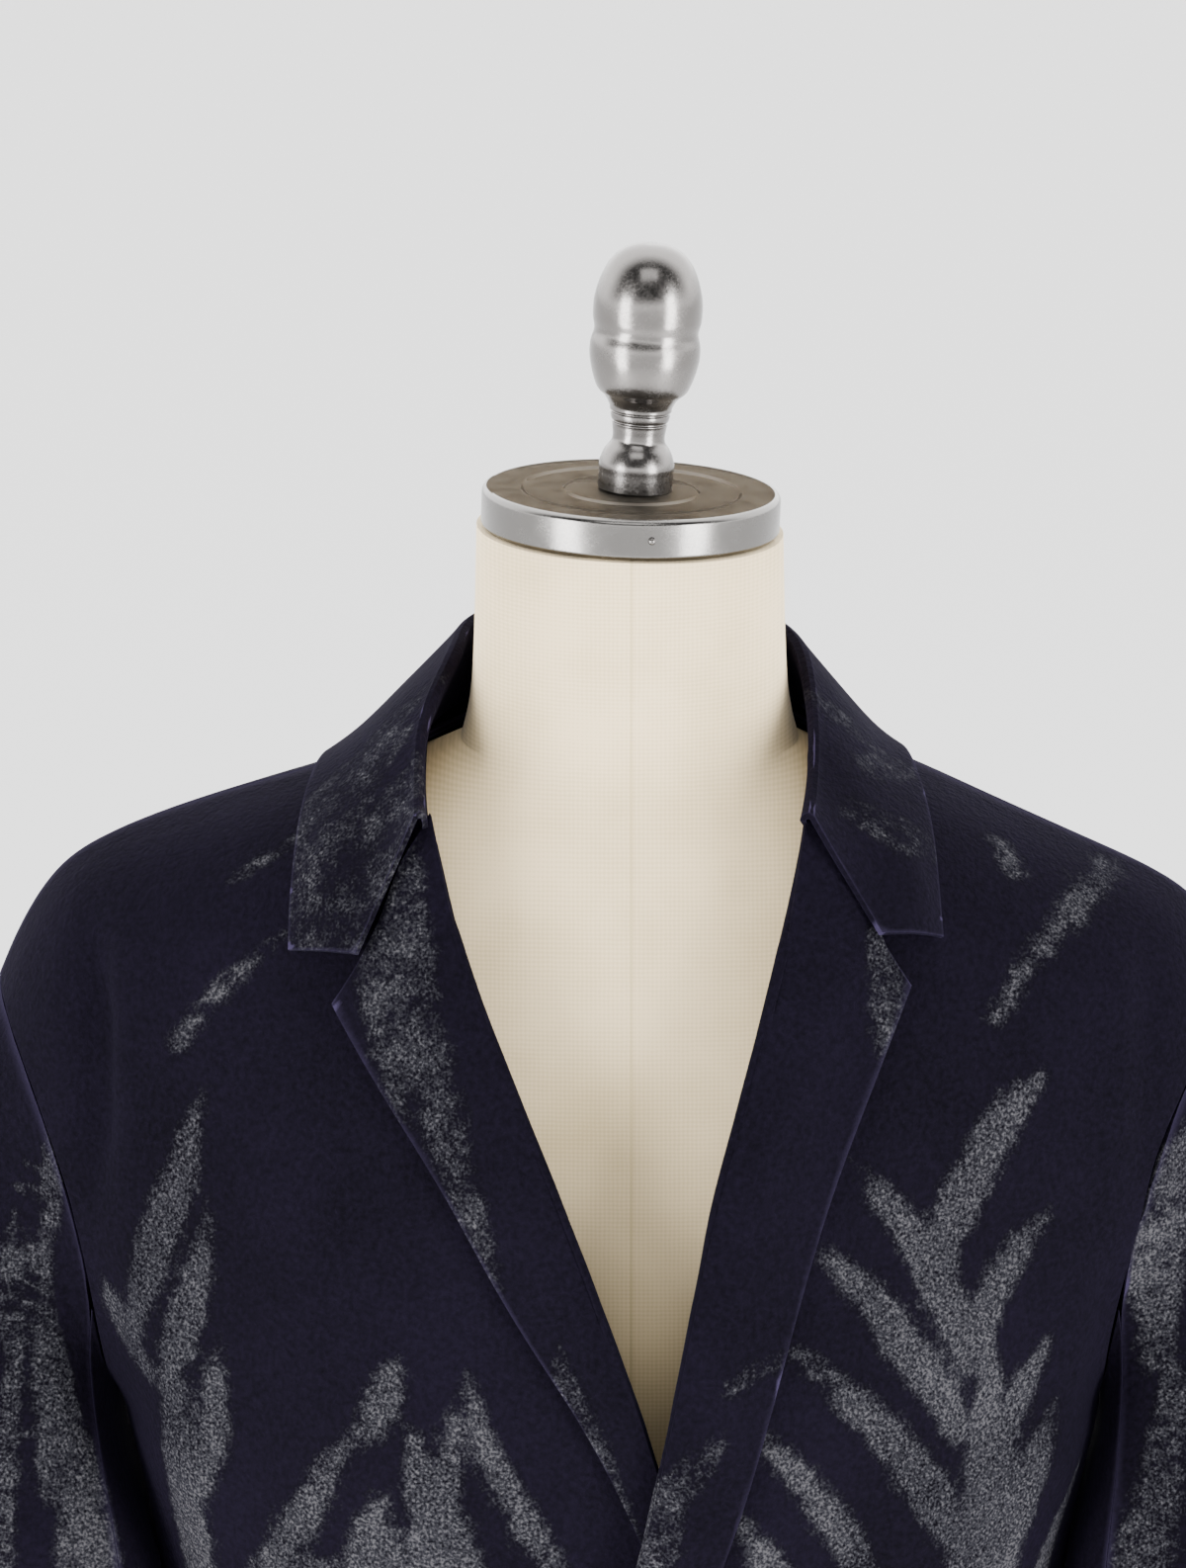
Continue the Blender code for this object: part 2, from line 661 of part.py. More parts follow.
def pull_in(grid, first_column=0.0, last_column=0.0, last_row=0.0, first_row=0.0):
    """Draws the borders of a grid back along its own rows and columns by the given distances."""

    def toward(points, neighbours, distance):
        step = neighbours - points
        return points + step / np.linalg.norm(step, axis=-1, keepdims=True) * distance

    grid = grid.copy()
    if first_column:
        grid[:, 0] = toward(grid[:, 0], grid[:, 1], first_column)
    if last_column:
        grid[:, -1] = toward(grid[:, -1], grid[:, -2], last_column)
    if last_row:
        grid[-1] = toward(grid[-1], grid[-2], last_row)
    if first_row:
        grid[0] = toward(grid[0], grid[1], first_row)
    return grid


def turned(name, profile, finish, segments, place=(0, 0, 0), lean=0.0, axis=None):
    """A turned piece: a profile of heights and radii spun round an axis, closed top and bottom."""
    vertices = []
    faces = []
    rings = []
    for row in profile:
        ring = []
        for k in range(segments):
            turn = 2 * math.pi * k / segments
            ring.append(len(vertices))
            vertices.append([row.radius * math.cos(turn), row.radius * math.sin(turn), row.height])
        rings.append(ring)
    for low, high in zip(rings, rings[1:]):
        for k in range(segments):
            n = (k + 1) % segments
            faces.append((low[k], low[n], high[n], high[k]))
    faces.append(tuple(reversed(rings[0])))
    faces.append(tuple(rings[-1]))
    points = np.array(vertices)
    if axis is not None:
        points = points @ axis
    swing = np.array([[math.cos(lean), 0, -math.sin(lean)], [0, 1, 0], [math.sin(lean), 0, math.cos(lean)]])
    points = points @ swing + np.array(place, float)
    return add_object(name, points, faces, finish)


# ---- pieces of the coat ----
def build_front(side):
    """One front, from its edge and roll line to the side seam, armhole and shoulder seam."""
    shares = np.concatenate([[0.0, 0.045, 0.095, 0.15, 0.21], even_turn(FRONT_COLUMNS, 0.28)])
    inner = panel(side, "front", levels(SKIRT_ROWS, UPPER_ROWS), shares)
    outer = inner + WOOL * outward(inner, "body")
    gap = SEAM / 2
    inner, outer = (pull_in(g, last_column=gap, last_row=gap) for g in (inner, outer))
    return wall(f"front_{SIDE_NAME[side]}", inner, outer)


def build_back():
    """The one-piece back, joined down its middle."""
    halves = []
    for side in (RIGHT, LEFT):
        neck_share = RIDGE[side][0].reach / RIDGE[side][-1].reach
        shares = even_turn(BACK_COLUMNS)
        nearest = int(np.argmin(np.abs(shares - neck_share)))
        shares[nearest] = neck_share
        halves.append(panel(side, "back", levels(SKIRT_ROWS, UPPER_ROWS), shares))
    right, left = halves
    inner = np.concatenate([right[:, :0:-1], left], axis=1)
    outer = inner + WOOL * outward(inner, "body")
    gap = SEAM / 2
    inner, outer = (pull_in(g, first_column=gap, last_column=gap, last_row=gap) for g in (inner, outer))
    return wall("back", inner, outer)


def gorge_line(side, share):
    """Point on the way from the roll line along the gorge and the top edge to the lapel's tip."""
    points = [np.array([g.x, g.y, g.z], float) for g in GORGE[side]]
    stops = np.concatenate([[0], np.cumsum([np.linalg.norm(b - a) for a, b in zip(points, points[1:])])])
    stops /= stops[-1]
    return np.array([np.interp(share, stops, [p[i] for p in points]) for i in range(3)])


def build_lapel(side, face):
    """The turned-back top of a front: its points are the front's, moved out with a soft roll."""
    curve = Curves(LAPEL[side], "along")
    rows = np.concatenate([[0.0], np.linspace(0.06, 1.0, 12)])
    shares = np.array([0.0, 0.1, 0.28, 0.5, 0.74, 1.0])
    roll_top = GORGE[side][0].z
    grid = np.zeros((len(rows), len(shares), 3))
    for r, along in enumerate(rows):
        roll_z = roll_top + (BREAK_Z[side] - roll_top) * along
        roll = np.array([float(INNER_AT[side]("x", roll_z)), -150.0, roll_z])
        edge = np.array([float(curve("edge_x", along)), -150.0, float(curve("edge_z", along))])
        top = 1 - smooth_step(along / 0.22)
        fade = 1 - smooth_step((along - 0.55) / 0.3)
        for c, share in enumerate(shares):
            point = roll + (edge - roll) * share
            point = point + (gorge_line(side, share) - point) * (top if r else 1.0)
            point[1] = chest_depth(side, point[0], point[2])
            bulge = LAPEL_BULGE * fade * math.sin(math.pi * min(1, share * 1.4)) ** 2
            grid[r, c] = face.lay(point, LEAF_GAP + ROLL_CLEARANCE * top + bulge)
    out = np.array([[face.beside(point)[1] for point in row] for row in grid])
    inner = pull_in(grid, first_row=SEAM)
    outer = pull_in(grid + WOOL * out, first_row=SEAM)
    return wall(f"lapel_{SIDE_NAME[side]}", inner, outer)


def chest_depth(side, x, z):
    """Depth of a front's outer face below the collar, from its row at that height."""
    share = min(1.0, max(0.0, (z - UNDERARM_Z) / (NECK_Z[side] - UNDERARM_Z)))
    inward = (1 - share**CHEST_ROUNDING) ** (1 / CHEST_ROUNDING)
    across = min(1.0, abs(x - CENTRE) / CHEST_HALF)
    return SHOULDER_Y - CHEST_DEPTH * inward * (1 - across**CHEST_FULLNESS) ** (1 / CHEST_FULLNESS)


def collar_section(row, face):
    """Points across the collar and their outward ways: up the stand, over the fold and down the fall."""
    foot, fold, mid, edge = (np.array([row[f"{place}_{c}"] for c in "xyz"]) for place in COLLAR_PLACES)
    away = mid - fold
    away[2] = 0
    away /= np.linalg.norm(away)
    up = np.array([0.0, 0.0, 1.0])
    middle = fold - up * FOLD_RADIUS
    radial = [away * math.cos(t) + up * math.sin(t) for t in np.radians(FOLD_TURNS)]
    arch = [middle + FOLD_RADIUS * way for way in radial]
    foot = face.lay(foot, FOOT_GAP)
    fall = [arch[-1] + (mid - arch[-1]) * 0.5, mid, mid + (edge - mid) * 0.5, edge]
    fall = [face.lay(p, WOOL + LEAF_GAP, only_if_below=True) for p in fall[:-1]]
    fall.append(face.lay(edge, WOOL + LEAF_GAP))
    run = edge - arch[-1]
    slope = np.array([-run[2] * away[0], -run[2] * away[1], float(np.dot(run, away))])
    slope /= np.linalg.norm(slope)
    leaf = [slope + (face.beside(point)[1] - slope) * share for share, point in zip(LEAF_SHARES, fall)]
    points = [foot, foot + (arch[0] - foot) * 0.5] + arch + fall
    return np.array(points), np.array([-away, -away] + radial + leaf)


def build_collar(faces):
    """The collar in one piece, folded over: its stand inside and its fall outside."""
    points = []
    ways = []
    for side, alongs in ((RIGHT, np.linspace(0, 1, 13)), (LEFT, np.linspace(1, 0, 13)[1:])):
        curve = Curves(COLLAR[side], "along")
        for along in alongs:
            row = {name: float(curve(name, along)) for name in Collar._fields[1:]}
            section, out = collar_section(row, faces[side])
            points.append(section)
            ways.append(out / np.linalg.norm(out, axis=1, keepdims=True))
    outer = np.array(points)
    return wall("collar", outer, outer - WOOL * np.array(ways))


def scye_frame(side, at):
    """Point of the armhole with the body's outward normal and the way across the seam, out of the body."""
    step = 0.004
    point, ahead, behind = (
        np.array([float(SCYE_AT[side](c, place % 2)) for c in ("x", "y", "z")])
        for place in (at, at + step, at - step)
    )
    along = ahead - behind
    along /= np.linalg.norm(along)
    part = "front" if at % 2 <= 1 else "back"
    share = at % 2 if part == "front" else 2 - at % 2
    share = min(0.995, max(0.02, share))
    row = body_row(side, part, UNDERARM_Z + share, np.array([0.96, 1.0]))
    across = row[1] - row[0]
    normal = np.cross(along, across)
    normal *= np.sign(normal[0]) * side
    if abs(normal[0]) < 1e-6:
        normal = np.array([side, 0.0, 0.0])
    level_part = (1 + math.cos(math.pi * at)) / 2
    normal = normal / np.linalg.norm(normal)
    normal = normal * (1 - level_part) + np.array([side, 0.0, 0.0]) * level_part
    normal /= np.linalg.norm(normal)
    across = np.cross(normal, along)
    middle = np.array([point[0], 8.0, 1280.0])
    across *= np.sign(np.dot(middle - point, across))
    return point, normal, across / np.linalg.norm(across)


def sleeve_column(side, at, alongs):
    """Points down the sleeve's outer face at one place round it, from the armhole (0) to the cuff (1)."""
    point, normal, across = scye_frame(side, at)
    start = point + (WOOL + SEAM) * normal + SCYE_GAP * across
    low = (1 + math.cos(math.pi * at)) / 2
    leave = across * (1 - low) + np.array(UNDERARM_WAY) * np.array([side, 1, 1]) * low
    leave /= np.linalg.norm(leave)
    rings = Curves(SLEEVE[side], "z")

    def ring_point(z):
        reach, y, half_x, half_y = (float(rings(c, z)) for c in ("reach", "y", "half_x", "half_y"))
        turn = math.pi * at
        inward = math.copysign(abs(math.cos(turn)) ** SLEEVE_SQUARENESS, math.cos(turn))
        forward = math.copysign(abs(math.sin(turn)) ** SLEEVE_SQUARENESS, math.sin(turn))
        local_y = -half_y * forward
        lean = SLEEVE_TWIST * local_y * (1 if local_y < 0 else BACK_TWIST)
        return np.array([side * (reach - half_x * inward + lean), y + local_y, z])

    upper_z = SLEEVE[side][0].z
    cuff_z = SLEEVE[side][-1].z
    end = ring_point(upper_z)
    chord = np.linalg.norm(end - start)
    down = np.array([0.0, 0.0, -1.0])
    points = []
    for along in alongs:
        if along <= SLEEVE_SPLIT:
            s = along / SLEEVE_SPLIT
            h = (2 * s**3 - 3 * s**2 + 1, s**3 - 2 * s**2 + s, 3 * s**2 - 2 * s**3, s**3 - s**2)
            points.append(h[0] * start + h[1] * chord * leave + h[2] * end + h[3] * chord * 0.9 * down)
        else:
            lower = (along - SLEEVE_SPLIT) / (1 - SLEEVE_SPLIT)
            points.append(ring_point(upper_z + (cuff_z - upper_z) * lower))
    return np.array(points)


def sleeve_grid(side, places, alongs, face):
    """Outer face and outward normals of a whole sleeve at places round it, creased and off the body."""
    grid = np.array([sleeve_column(side, at, alongs) for at in places]).transpose(1, 0, 2)
    out = sleeve_outward(grid)
    height = np.zeros(grid.shape[:2])
    for crease in SLEEVE_CREASES:
        share = np.clip((alongs - crease.along_top) / (crease.along_low - crease.along_top), 0, 1)
        place = crease.at_top + (crease.at_low - crease.at_top) * share
        grow = smooth_step((alongs - crease.along_top) / 0.1) * smooth_step((crease.along_low - alongs) / 0.1)
        offset = (places[None, :] - place[:, None] + 1) % 2 - 1
        height += crease.height * grow[:, None] * np.exp(-((offset / crease.width) ** 2))
    grid = grid - out * height[:, :, None]
    for row in grid:
        for c, point in enumerate(row):
            if point[2] < SLEEVE_FREE_Z:
                row[c] = face.lay(point, SLEEVE_REST, only_if_below=True)
    return grid, sleeve_outward(grid)


def sleeve_outward(grid):
    """Normals of a closed sleeve grid that point away from its middle line."""
    wrapped = np.concatenate([grid[:, -1:], grid, grid[:, :1]], axis=1)
    out = normals(wrapped)[:, 1:-1]
    sign = np.sign(np.sum((grid - grid.mean(axis=1, keepdims=True)) * out))
    return out * sign


def build_sleeve(side, face):
    """The two pieces of a sleeve: the upper over the outside of the arm and the under against the body."""
    alongs = np.array([0, 0.05, 0.11, 0.18, 0.26, 0.34, 0.42, 0.5, 0.58, 0.66, 0.74, 0.82, 0.91, 1.0])
    front_seam, back_seam = SLEEVE_SEAMS
    over = np.linspace(front_seam, back_seam, SLEEVE_UPPER_COLUMNS)
    under = np.linspace(back_seam, front_seam + 2, SLEEVE_UNDER_COLUMNS)
    places = np.concatenate([over, under[1:-1]])
    outer, out = sleeve_grid(side, places, alongs, face)
    inner = outer - WOOL * out
    gap = SEAM * 0.6
    for piece, picked in (
        ("upper", list(range(len(over)))),
        ("under", list(range(len(over) - 1, len(places))) + [0]),
    ):
        faces = (pull_in(g[:, picked], first_column=gap, last_column=gap) for g in (outer, inner))
        wall(f"sleeve_{piece}_{SIDE_NAME[side]}", *faces)


def build_buttons():
    """Buttons sewn down the middle of the left front."""
    for number, z in enumerate(BUTTON_HEIGHTS, 1):
        lift = float(overlap_lift(LEFT, np.array(CENTRE), np.array(z)))
        place = (CENTRE, -float(BODY_AT("front", z)) - lift - WOOL - BUTTON_GAP, z)
        turned(f"button_{number}", BUTTON_PROFILE, HORN, 16, place, axis=FORWARD_AXIS)


# ---- the form and its stand ----
def lean_top(point):
    """Tips what lies above the neck's foot by the cap's tilt, about the middle of the neck."""
    share = float(smooth_step((point[2] - 1500) / 60))
    angle = CAP_TILT * share
    x = point[0]
    return np.array([x * math.cos(angle), point[1], point[2] - x * math.sin(angle)])


def build_torso():
    """The padded form, smooth and whole, from its foot to the top of its neck."""
    segments = 32
    vertices = []
    rings = []
    for row in TORSO:
        ring = []
        for k in range(segments):
            turn = 2 * math.pi * k / segments
            depth = row.front if math.sin(turn) < 0 else row.back
            x = row.half * math.copysign(abs(math.cos(turn)) ** TORSO_ROUNDNESS, math.cos(turn))
            y = depth * math.copysign(abs(math.sin(turn)) ** TORSO_ROUNDNESS, math.sin(turn))
            ring.append(len(vertices))
            vertices.append(lean_top(np.array([x, y, row.z])))
        rings.append(ring)
    faces = []
    for low, high in zip(rings, rings[1:]):
        for k in range(segments):
            n = (k + 1) % segments
            faces.append((low[k], low[n], high[n], high[k]))
    faces.append(tuple(reversed(rings[0])))
    faces.append(tuple(rings[-1]))
    return add_object("form_torso", vertices, faces, MUSLIN)


def build_top():
    """The cast cap on the neck, its pin and its knob."""
    turned("neck_cap", CAP_STEPS, ALUMINIUM, 40, (0, NECK_Y, CAP_Z), CAP_TILT)
    turned("cap_knob", KNOB, ALUMINIUM, 24, KNOB_PLACE, KNOB_LEAN)
    pin = (Turned(0, 1.6), Turned(0.8, 1.5), Turned(1.4, 0.8))
    turned("cap_pin", pin, ALUMINIUM, 12, PIN_PLACE, axis=FORWARD_AXIS)


def build_stand():
    """The pole, its flange under the form and its base."""
    flange_foot = TORSO_FOOT_Z - FLANGE[-1].height - SEAM
    base_top = BASE_PROFILE[-1].height
    pole = (Turned(base_top + SEAM, POLE_RADIUS), Turned(flange_foot - SEAM, POLE_RADIUS))
    turned("pole_flange", FLANGE, POLE_STEEL, 32, (0, 0, flange_foot))
    turned("stand_pole", pole, POLE_STEEL, 24)
    turned("stand_base", BASE_PROFILE, BASE_PAINT, 40)


def main():
    """Clears the scene and builds every piece."""
    for thing in list(bpy.data.objects):
        bpy.data.objects.remove(thing)
    faces = {side: face_of(side) for side in (RIGHT, LEFT)}
    for side in (RIGHT, LEFT):
        build_front(side)
        build_lapel(side, faces[side])
        build_sleeve(side, faces[side])
    build_back()
    build_collar(faces)
    build_buttons()
    build_torso()
    build_top()
    build_stand()


main()
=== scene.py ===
"""Visual model of a brushed wool overcoat resting on a limbless dress form with a pole and a base.

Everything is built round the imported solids, in metres and in their frame: +Z is up and the coat faces -Y.
Left and right are the wearer's, so the right half of the coat is at -X.
"""

import logging
import math
import random
from dataclasses import dataclass, field
from enum import Enum
from typing import Callable, Iterable, Mapping, Optional, Sequence

import bmesh
import bpy
import numpy as np
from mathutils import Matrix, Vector, kdtree


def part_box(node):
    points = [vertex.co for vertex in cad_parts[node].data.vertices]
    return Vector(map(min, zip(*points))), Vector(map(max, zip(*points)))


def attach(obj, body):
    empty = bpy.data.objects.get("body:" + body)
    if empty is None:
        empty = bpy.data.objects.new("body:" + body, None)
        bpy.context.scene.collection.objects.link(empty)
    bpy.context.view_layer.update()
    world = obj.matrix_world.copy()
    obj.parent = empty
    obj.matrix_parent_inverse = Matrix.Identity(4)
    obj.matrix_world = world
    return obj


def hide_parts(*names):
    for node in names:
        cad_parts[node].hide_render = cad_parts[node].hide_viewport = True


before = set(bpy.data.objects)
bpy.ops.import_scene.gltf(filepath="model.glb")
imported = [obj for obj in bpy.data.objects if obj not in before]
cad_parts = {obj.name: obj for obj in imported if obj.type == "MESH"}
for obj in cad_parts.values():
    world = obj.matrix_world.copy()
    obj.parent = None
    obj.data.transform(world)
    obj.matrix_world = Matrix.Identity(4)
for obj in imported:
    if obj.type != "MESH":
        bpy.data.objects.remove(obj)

MM = 0.001
CENTRE_X = -4.0  # middle of the coat, mm
GIRTH_HALF = 210.0  # half width of the ring round which the body's pattern is laid, mm
GIRTH_DEPTH = 155.0  # half depth of that ring, mm
SLEEVE_AXIS = (252.0, -35.0)  # reach and depth of a sleeve's middle line, mm
SLEEVE_ROUND = 62.0  # mean radius of a sleeve, mm
COLLAR_ROUND = 100.0  # mean radius of the collar, mm
SHOULDER_FROM = 1330.0  # height from which the body turns in to the shoulder, mm
ROLL_FROM = 1060.0  # height above which a front turns back into its lapel, mm
ROLL_TOP = 1446.0  # height at which the lapels' rolls go under the collar, mm
ARMHOLE_FROM = 1240.0  # height of the lowest edges that a sleeve's rim is brought to, mm
CLOTH_THICK = 2.6  # mm
EDGE_ROUND = 0.0011  # rounding of the cloth's folded edges, m
LEAF_FADE = 30.0  # reach inside and outside a leaf's outline that is told apart, mm
SHARP = math.radians(42)  # faces that meet at more than this make a sharp edge
SAME_PLACE = 1e-6  # points nearer than this are one, m

log = logging.getLogger("overcoat")

Place = tuple[float, float, float]
Colour = tuple[float, float, float, float]
Move = Callable[[np.ndarray], np.ndarray]


class Side(Enum):
    """Side of the wearer, as the sign of X."""

    RIGHT = -1
    LEFT = 1

    @property
    def word(self) -> str:
        """Returns the side's name as the pieces' names have it."""
        return self.name.lower()


class Part(Enum):
    """Kind of cloth piece, which sets how the pattern lies on it and which way is out."""

    BODY = "body"
    LAPEL = "lapel"
    COLLAR = "collar"
    SLEEVE = "sleeve"


# ---- colour and node helpers ----
def linear(hex_colour: str) -> Colour:
    """Turns an sRGB hex colour to linear.

    Args:
        hex_colour: six hex digits after a hash sign.

    Returns:
        Linear red, green, blue and an alpha of 1.
    """
    channels = [int(hex_colour[i : i + 2], 16) / 255 for i in (1, 3, 5)]
    values = [c / 12.92 if c <= 0.04045 else ((c + 0.055) / 1.055) ** 2.4 for c in channels]
    return (values[0], values[1], values[2], 1.0)


def set_inputs(tree: bpy.types.NodeTree, node: bpy.types.Node, inputs: Mapping[object, object]) -> None:
    """Sets a node's inputs.

    Args:
        tree: node tree that the node is in.
        node: the node.
        inputs: values, or output sockets to link, by input name or number.
    """
    for name, value in inputs.items():
        socket = node.inputs[name]
        if isinstance(value, bpy.types.NodeSocket):
            tree.links.new(value, socket)
        else:
            socket.default_value = value


def add_node(
    tree: bpy.types.NodeTree,
    kind: str,
    inputs: Optional[Mapping[object, object]] = None,
    out: int | str = 0,
    stops: Sequence[tuple[float, str]] = (),
    **settings: object,
) -> bpy.types.NodeSocket:
    """Adds one node, with its settings, input values and links.

    Args:
        tree: node tree to add to.
        kind: Blender's name for the node.
        inputs: values, or output sockets to link, by input name or number.
        out: name or number of the output to return.
        stops: places and hex colours of a ramp.
        settings: properties of the node.

    Returns:
        The new node's output socket.
    """
    node = tree.nodes.new(kind)
    for name, value in settings.items():
        setattr(node, name, value)
    for k, (place, colour) in enumerate(stops):
        elements = node.color_ramp.elements
        element = elements[k] if k < 2 else elements.new(place)
        element.position = place
        element.color = linear(colour)
    set_inputs(tree, node, inputs or {})
    return node.outputs[out]


def lumps(size_mm: float, detail: float = 2.0) -> dict[str, float]:
    """Returns a noise's inputs for lumps of a real size in mm with a number of finer layers."""
    return {"Scale": 1000.0 / size_mm, "Detail": detail}


def span(low: float, high: float, to_low: float = 0.0, to_high: float = 1.0) -> dict[str, float]:
    """Returns the inputs that spread a value from one span onto another."""
    return {"From Min": low, "From Max": high, "To Min": to_low, "To Max": to_high}


def sum_of(
    tree: bpy.types.NodeTree, terms: Sequence[tuple[bpy.types.NodeSocket, float]]
) -> bpy.types.NodeSocket:
    """Adds sockets together, each times a number.

    Args:
        tree: node tree to add to.
        terms: sockets and what each is multiplied by.

    Returns:
        The socket of the sum.
    """
    total: object = 0.0
    for socket, factor in terms:
        inputs = {0: socket, 1: factor, 2: total}
        total = add_node(tree, "ShaderNodeMath", inputs, operation="MULTIPLY_ADD")
    return total


def new_surface(name: str) -> tuple[bpy.types.Material, bpy.types.NodeTree, bpy.types.Node]:
    """Starts a material.

    Args:
        name: name of the material.

    Returns:
        The material, its node tree and its shader node.
    """
    material = bpy.data.materials.new(name)
    material.use_nodes = True
    tree = material.node_tree
    return material, tree, tree.nodes["Principled BSDF"]


# ---- finishes ----
@dataclass(frozen=True)
class BrushedWool:
    """Double-faced melton wool, woven, milled and brushed, with leaf blades needled in as grey melange.

    Brushing hides the weave: the eye sees a soft nap with no gloss, a faint violet bloom where it is seen
    edge-on, and salt-and-pepper flecks in the grey blades, whose edges are ragged by the stray fibres.
    """

    ground_dark: str = "#060509"
    ground_light: str = "#0e0b15"
    blade_mid: str = "#222226"
    blade_light: str = "#424144"
    # painted highlight: lighter colour laid on rounded sewn edges in place of light caught on them
    edge: str = "#2b2639"
    bloom: str = "#8a80b4"
    nap_mm: float = 2.2  # drawn as tufts, as single fibres of 0.02 mm are too fine for the picture
    fleck_mm: float = 1.2  # the same of the grey fibres
    tuft_mm: float = 7.0
    cloud_mm: float = 60.0
    ragged_mm: tuple[float, float] = (14.0, 4.0)
    ragged_by: tuple[float, float] = (9.0, 7.0)
    outline_mm: float = 2.4  # depth in a leaf at which its grey begins
    fade_mm: float = 8.0
    highlight_bend: tuple[float, float] = (0.51, 0.58)  # Blender's pointiness over which a rounded sewn edge takes the painted highlight
    roughness: float = 0.95
    gloss: float = 0.02
    sheen: float = 0.022
    sheen_roughness: float = 0.5
    relief: tuple[float, float] = (0.55, 1.1)  # strength and depth in mm of the nap

    def build(self) -> bpy.types.Material:
        """Builds the wool.

        Returns:
            The wool's material.
        """
        material, tree, shader = new_surface("brushed_melton_wool")
        place = add_node(tree, "ShaderNodeTexCoord", out="Object")
        coarse, fine, cloud, nap, fleck, tuft = (
            add_node(tree, "ShaderNodeTexNoise", {"Vector": place, **lumps(size, detail)})
            for size, detail in (
                (self.ragged_mm[0], 3.0),
                (self.ragged_mm[1], 2.0),
                (self.cloud_mm, 2.0),
                (self.nap_mm, 3.0),
                (self.fleck_mm, 2.0),
                (self.tuft_mm, 2.0),
            )
        )
        depth = add_node(tree, "ShaderNodeAttribute", out="Fac", attribute_name="blade")
        ragged = sum_of(tree, ((depth, 1.0), (coarse, self.ragged_by[0]), (fine, self.ragged_by[1])))
        inputs = {"Value": ragged, **span(self.outline_mm, self.outline_mm + self.fade_mm)}
        amount = add_node(tree, "ShaderNodeMapRange", inputs, interpolation_type="SMOOTHSTEP")
        tone = sum_of(tree, ((cloud, 0.7), (nap, 1.3)))
        tone = add_node(tree, "ShaderNodeMapRange", {"Value": tone, **span(0.62, 1.38)})
        stops = ((0.0, self.ground_dark), (1.0, self.ground_light))
        ground = add_node(tree, "ShaderNodeValToRGB", {"Fac": tone}, stops=stops)
        density = sum_of(tree, ((fleck, 0.85), (amount, 0.25), (cloud, 0.30)))
        stops = ((0.66, self.ground_dark), (0.84, self.blade_mid), (1.0, self.blade_light))
        melange = add_node(tree, "ShaderNodeValToRGB", {"Fac": density}, stops=stops)
        cloth = add_node(tree, "ShaderNodeMix", {0: amount, 6: ground, 7: melange}, 2, data_type="RGBA")
        # painted highlight: rounded sewn edges take the lighter edge colour, standing in for light caught
        # there
        bend = add_node(tree, "ShaderNodeNewGeometry", out="Pointiness")
        bend = add_node(tree, "ShaderNodeMapRange", {"Value": bend, **span(*self.highlight_bend)})
        sewn = add_node(tree, "ShaderNodeAttribute", out="Fac", attribute_name="sewn_edge")
        highlight_mask = add_node(tree, "ShaderNodeMath", {0: bend, 1: sewn}, operation="MULTIPLY")
        inputs = {0: highlight_mask, 6: cloth, 7: linear(self.edge)}
        colour = add_node(tree, "ShaderNodeMix", inputs, 2, data_type="RGBA")
        height = sum_of(tree, ((nap, 1.0), (tuft, 0.9)))
        inputs = {"Strength": self.relief[0], "Distance": self.relief[1] * MM, "Height": height}
        normal = add_node(tree, "ShaderNodeBump", inputs)
        inputs = {"Base Color": colour, "Roughness": self.roughness, "Specular IOR Level": self.gloss}
        set_inputs(tree, shader, {**inputs, "Sheen Weight": self.sheen, "Sheen Tint": linear(self.bloom)})
        set_inputs(tree, shader, {"Sheen Roughness": self.sheen_roughness, "Normal": normal})
        return material


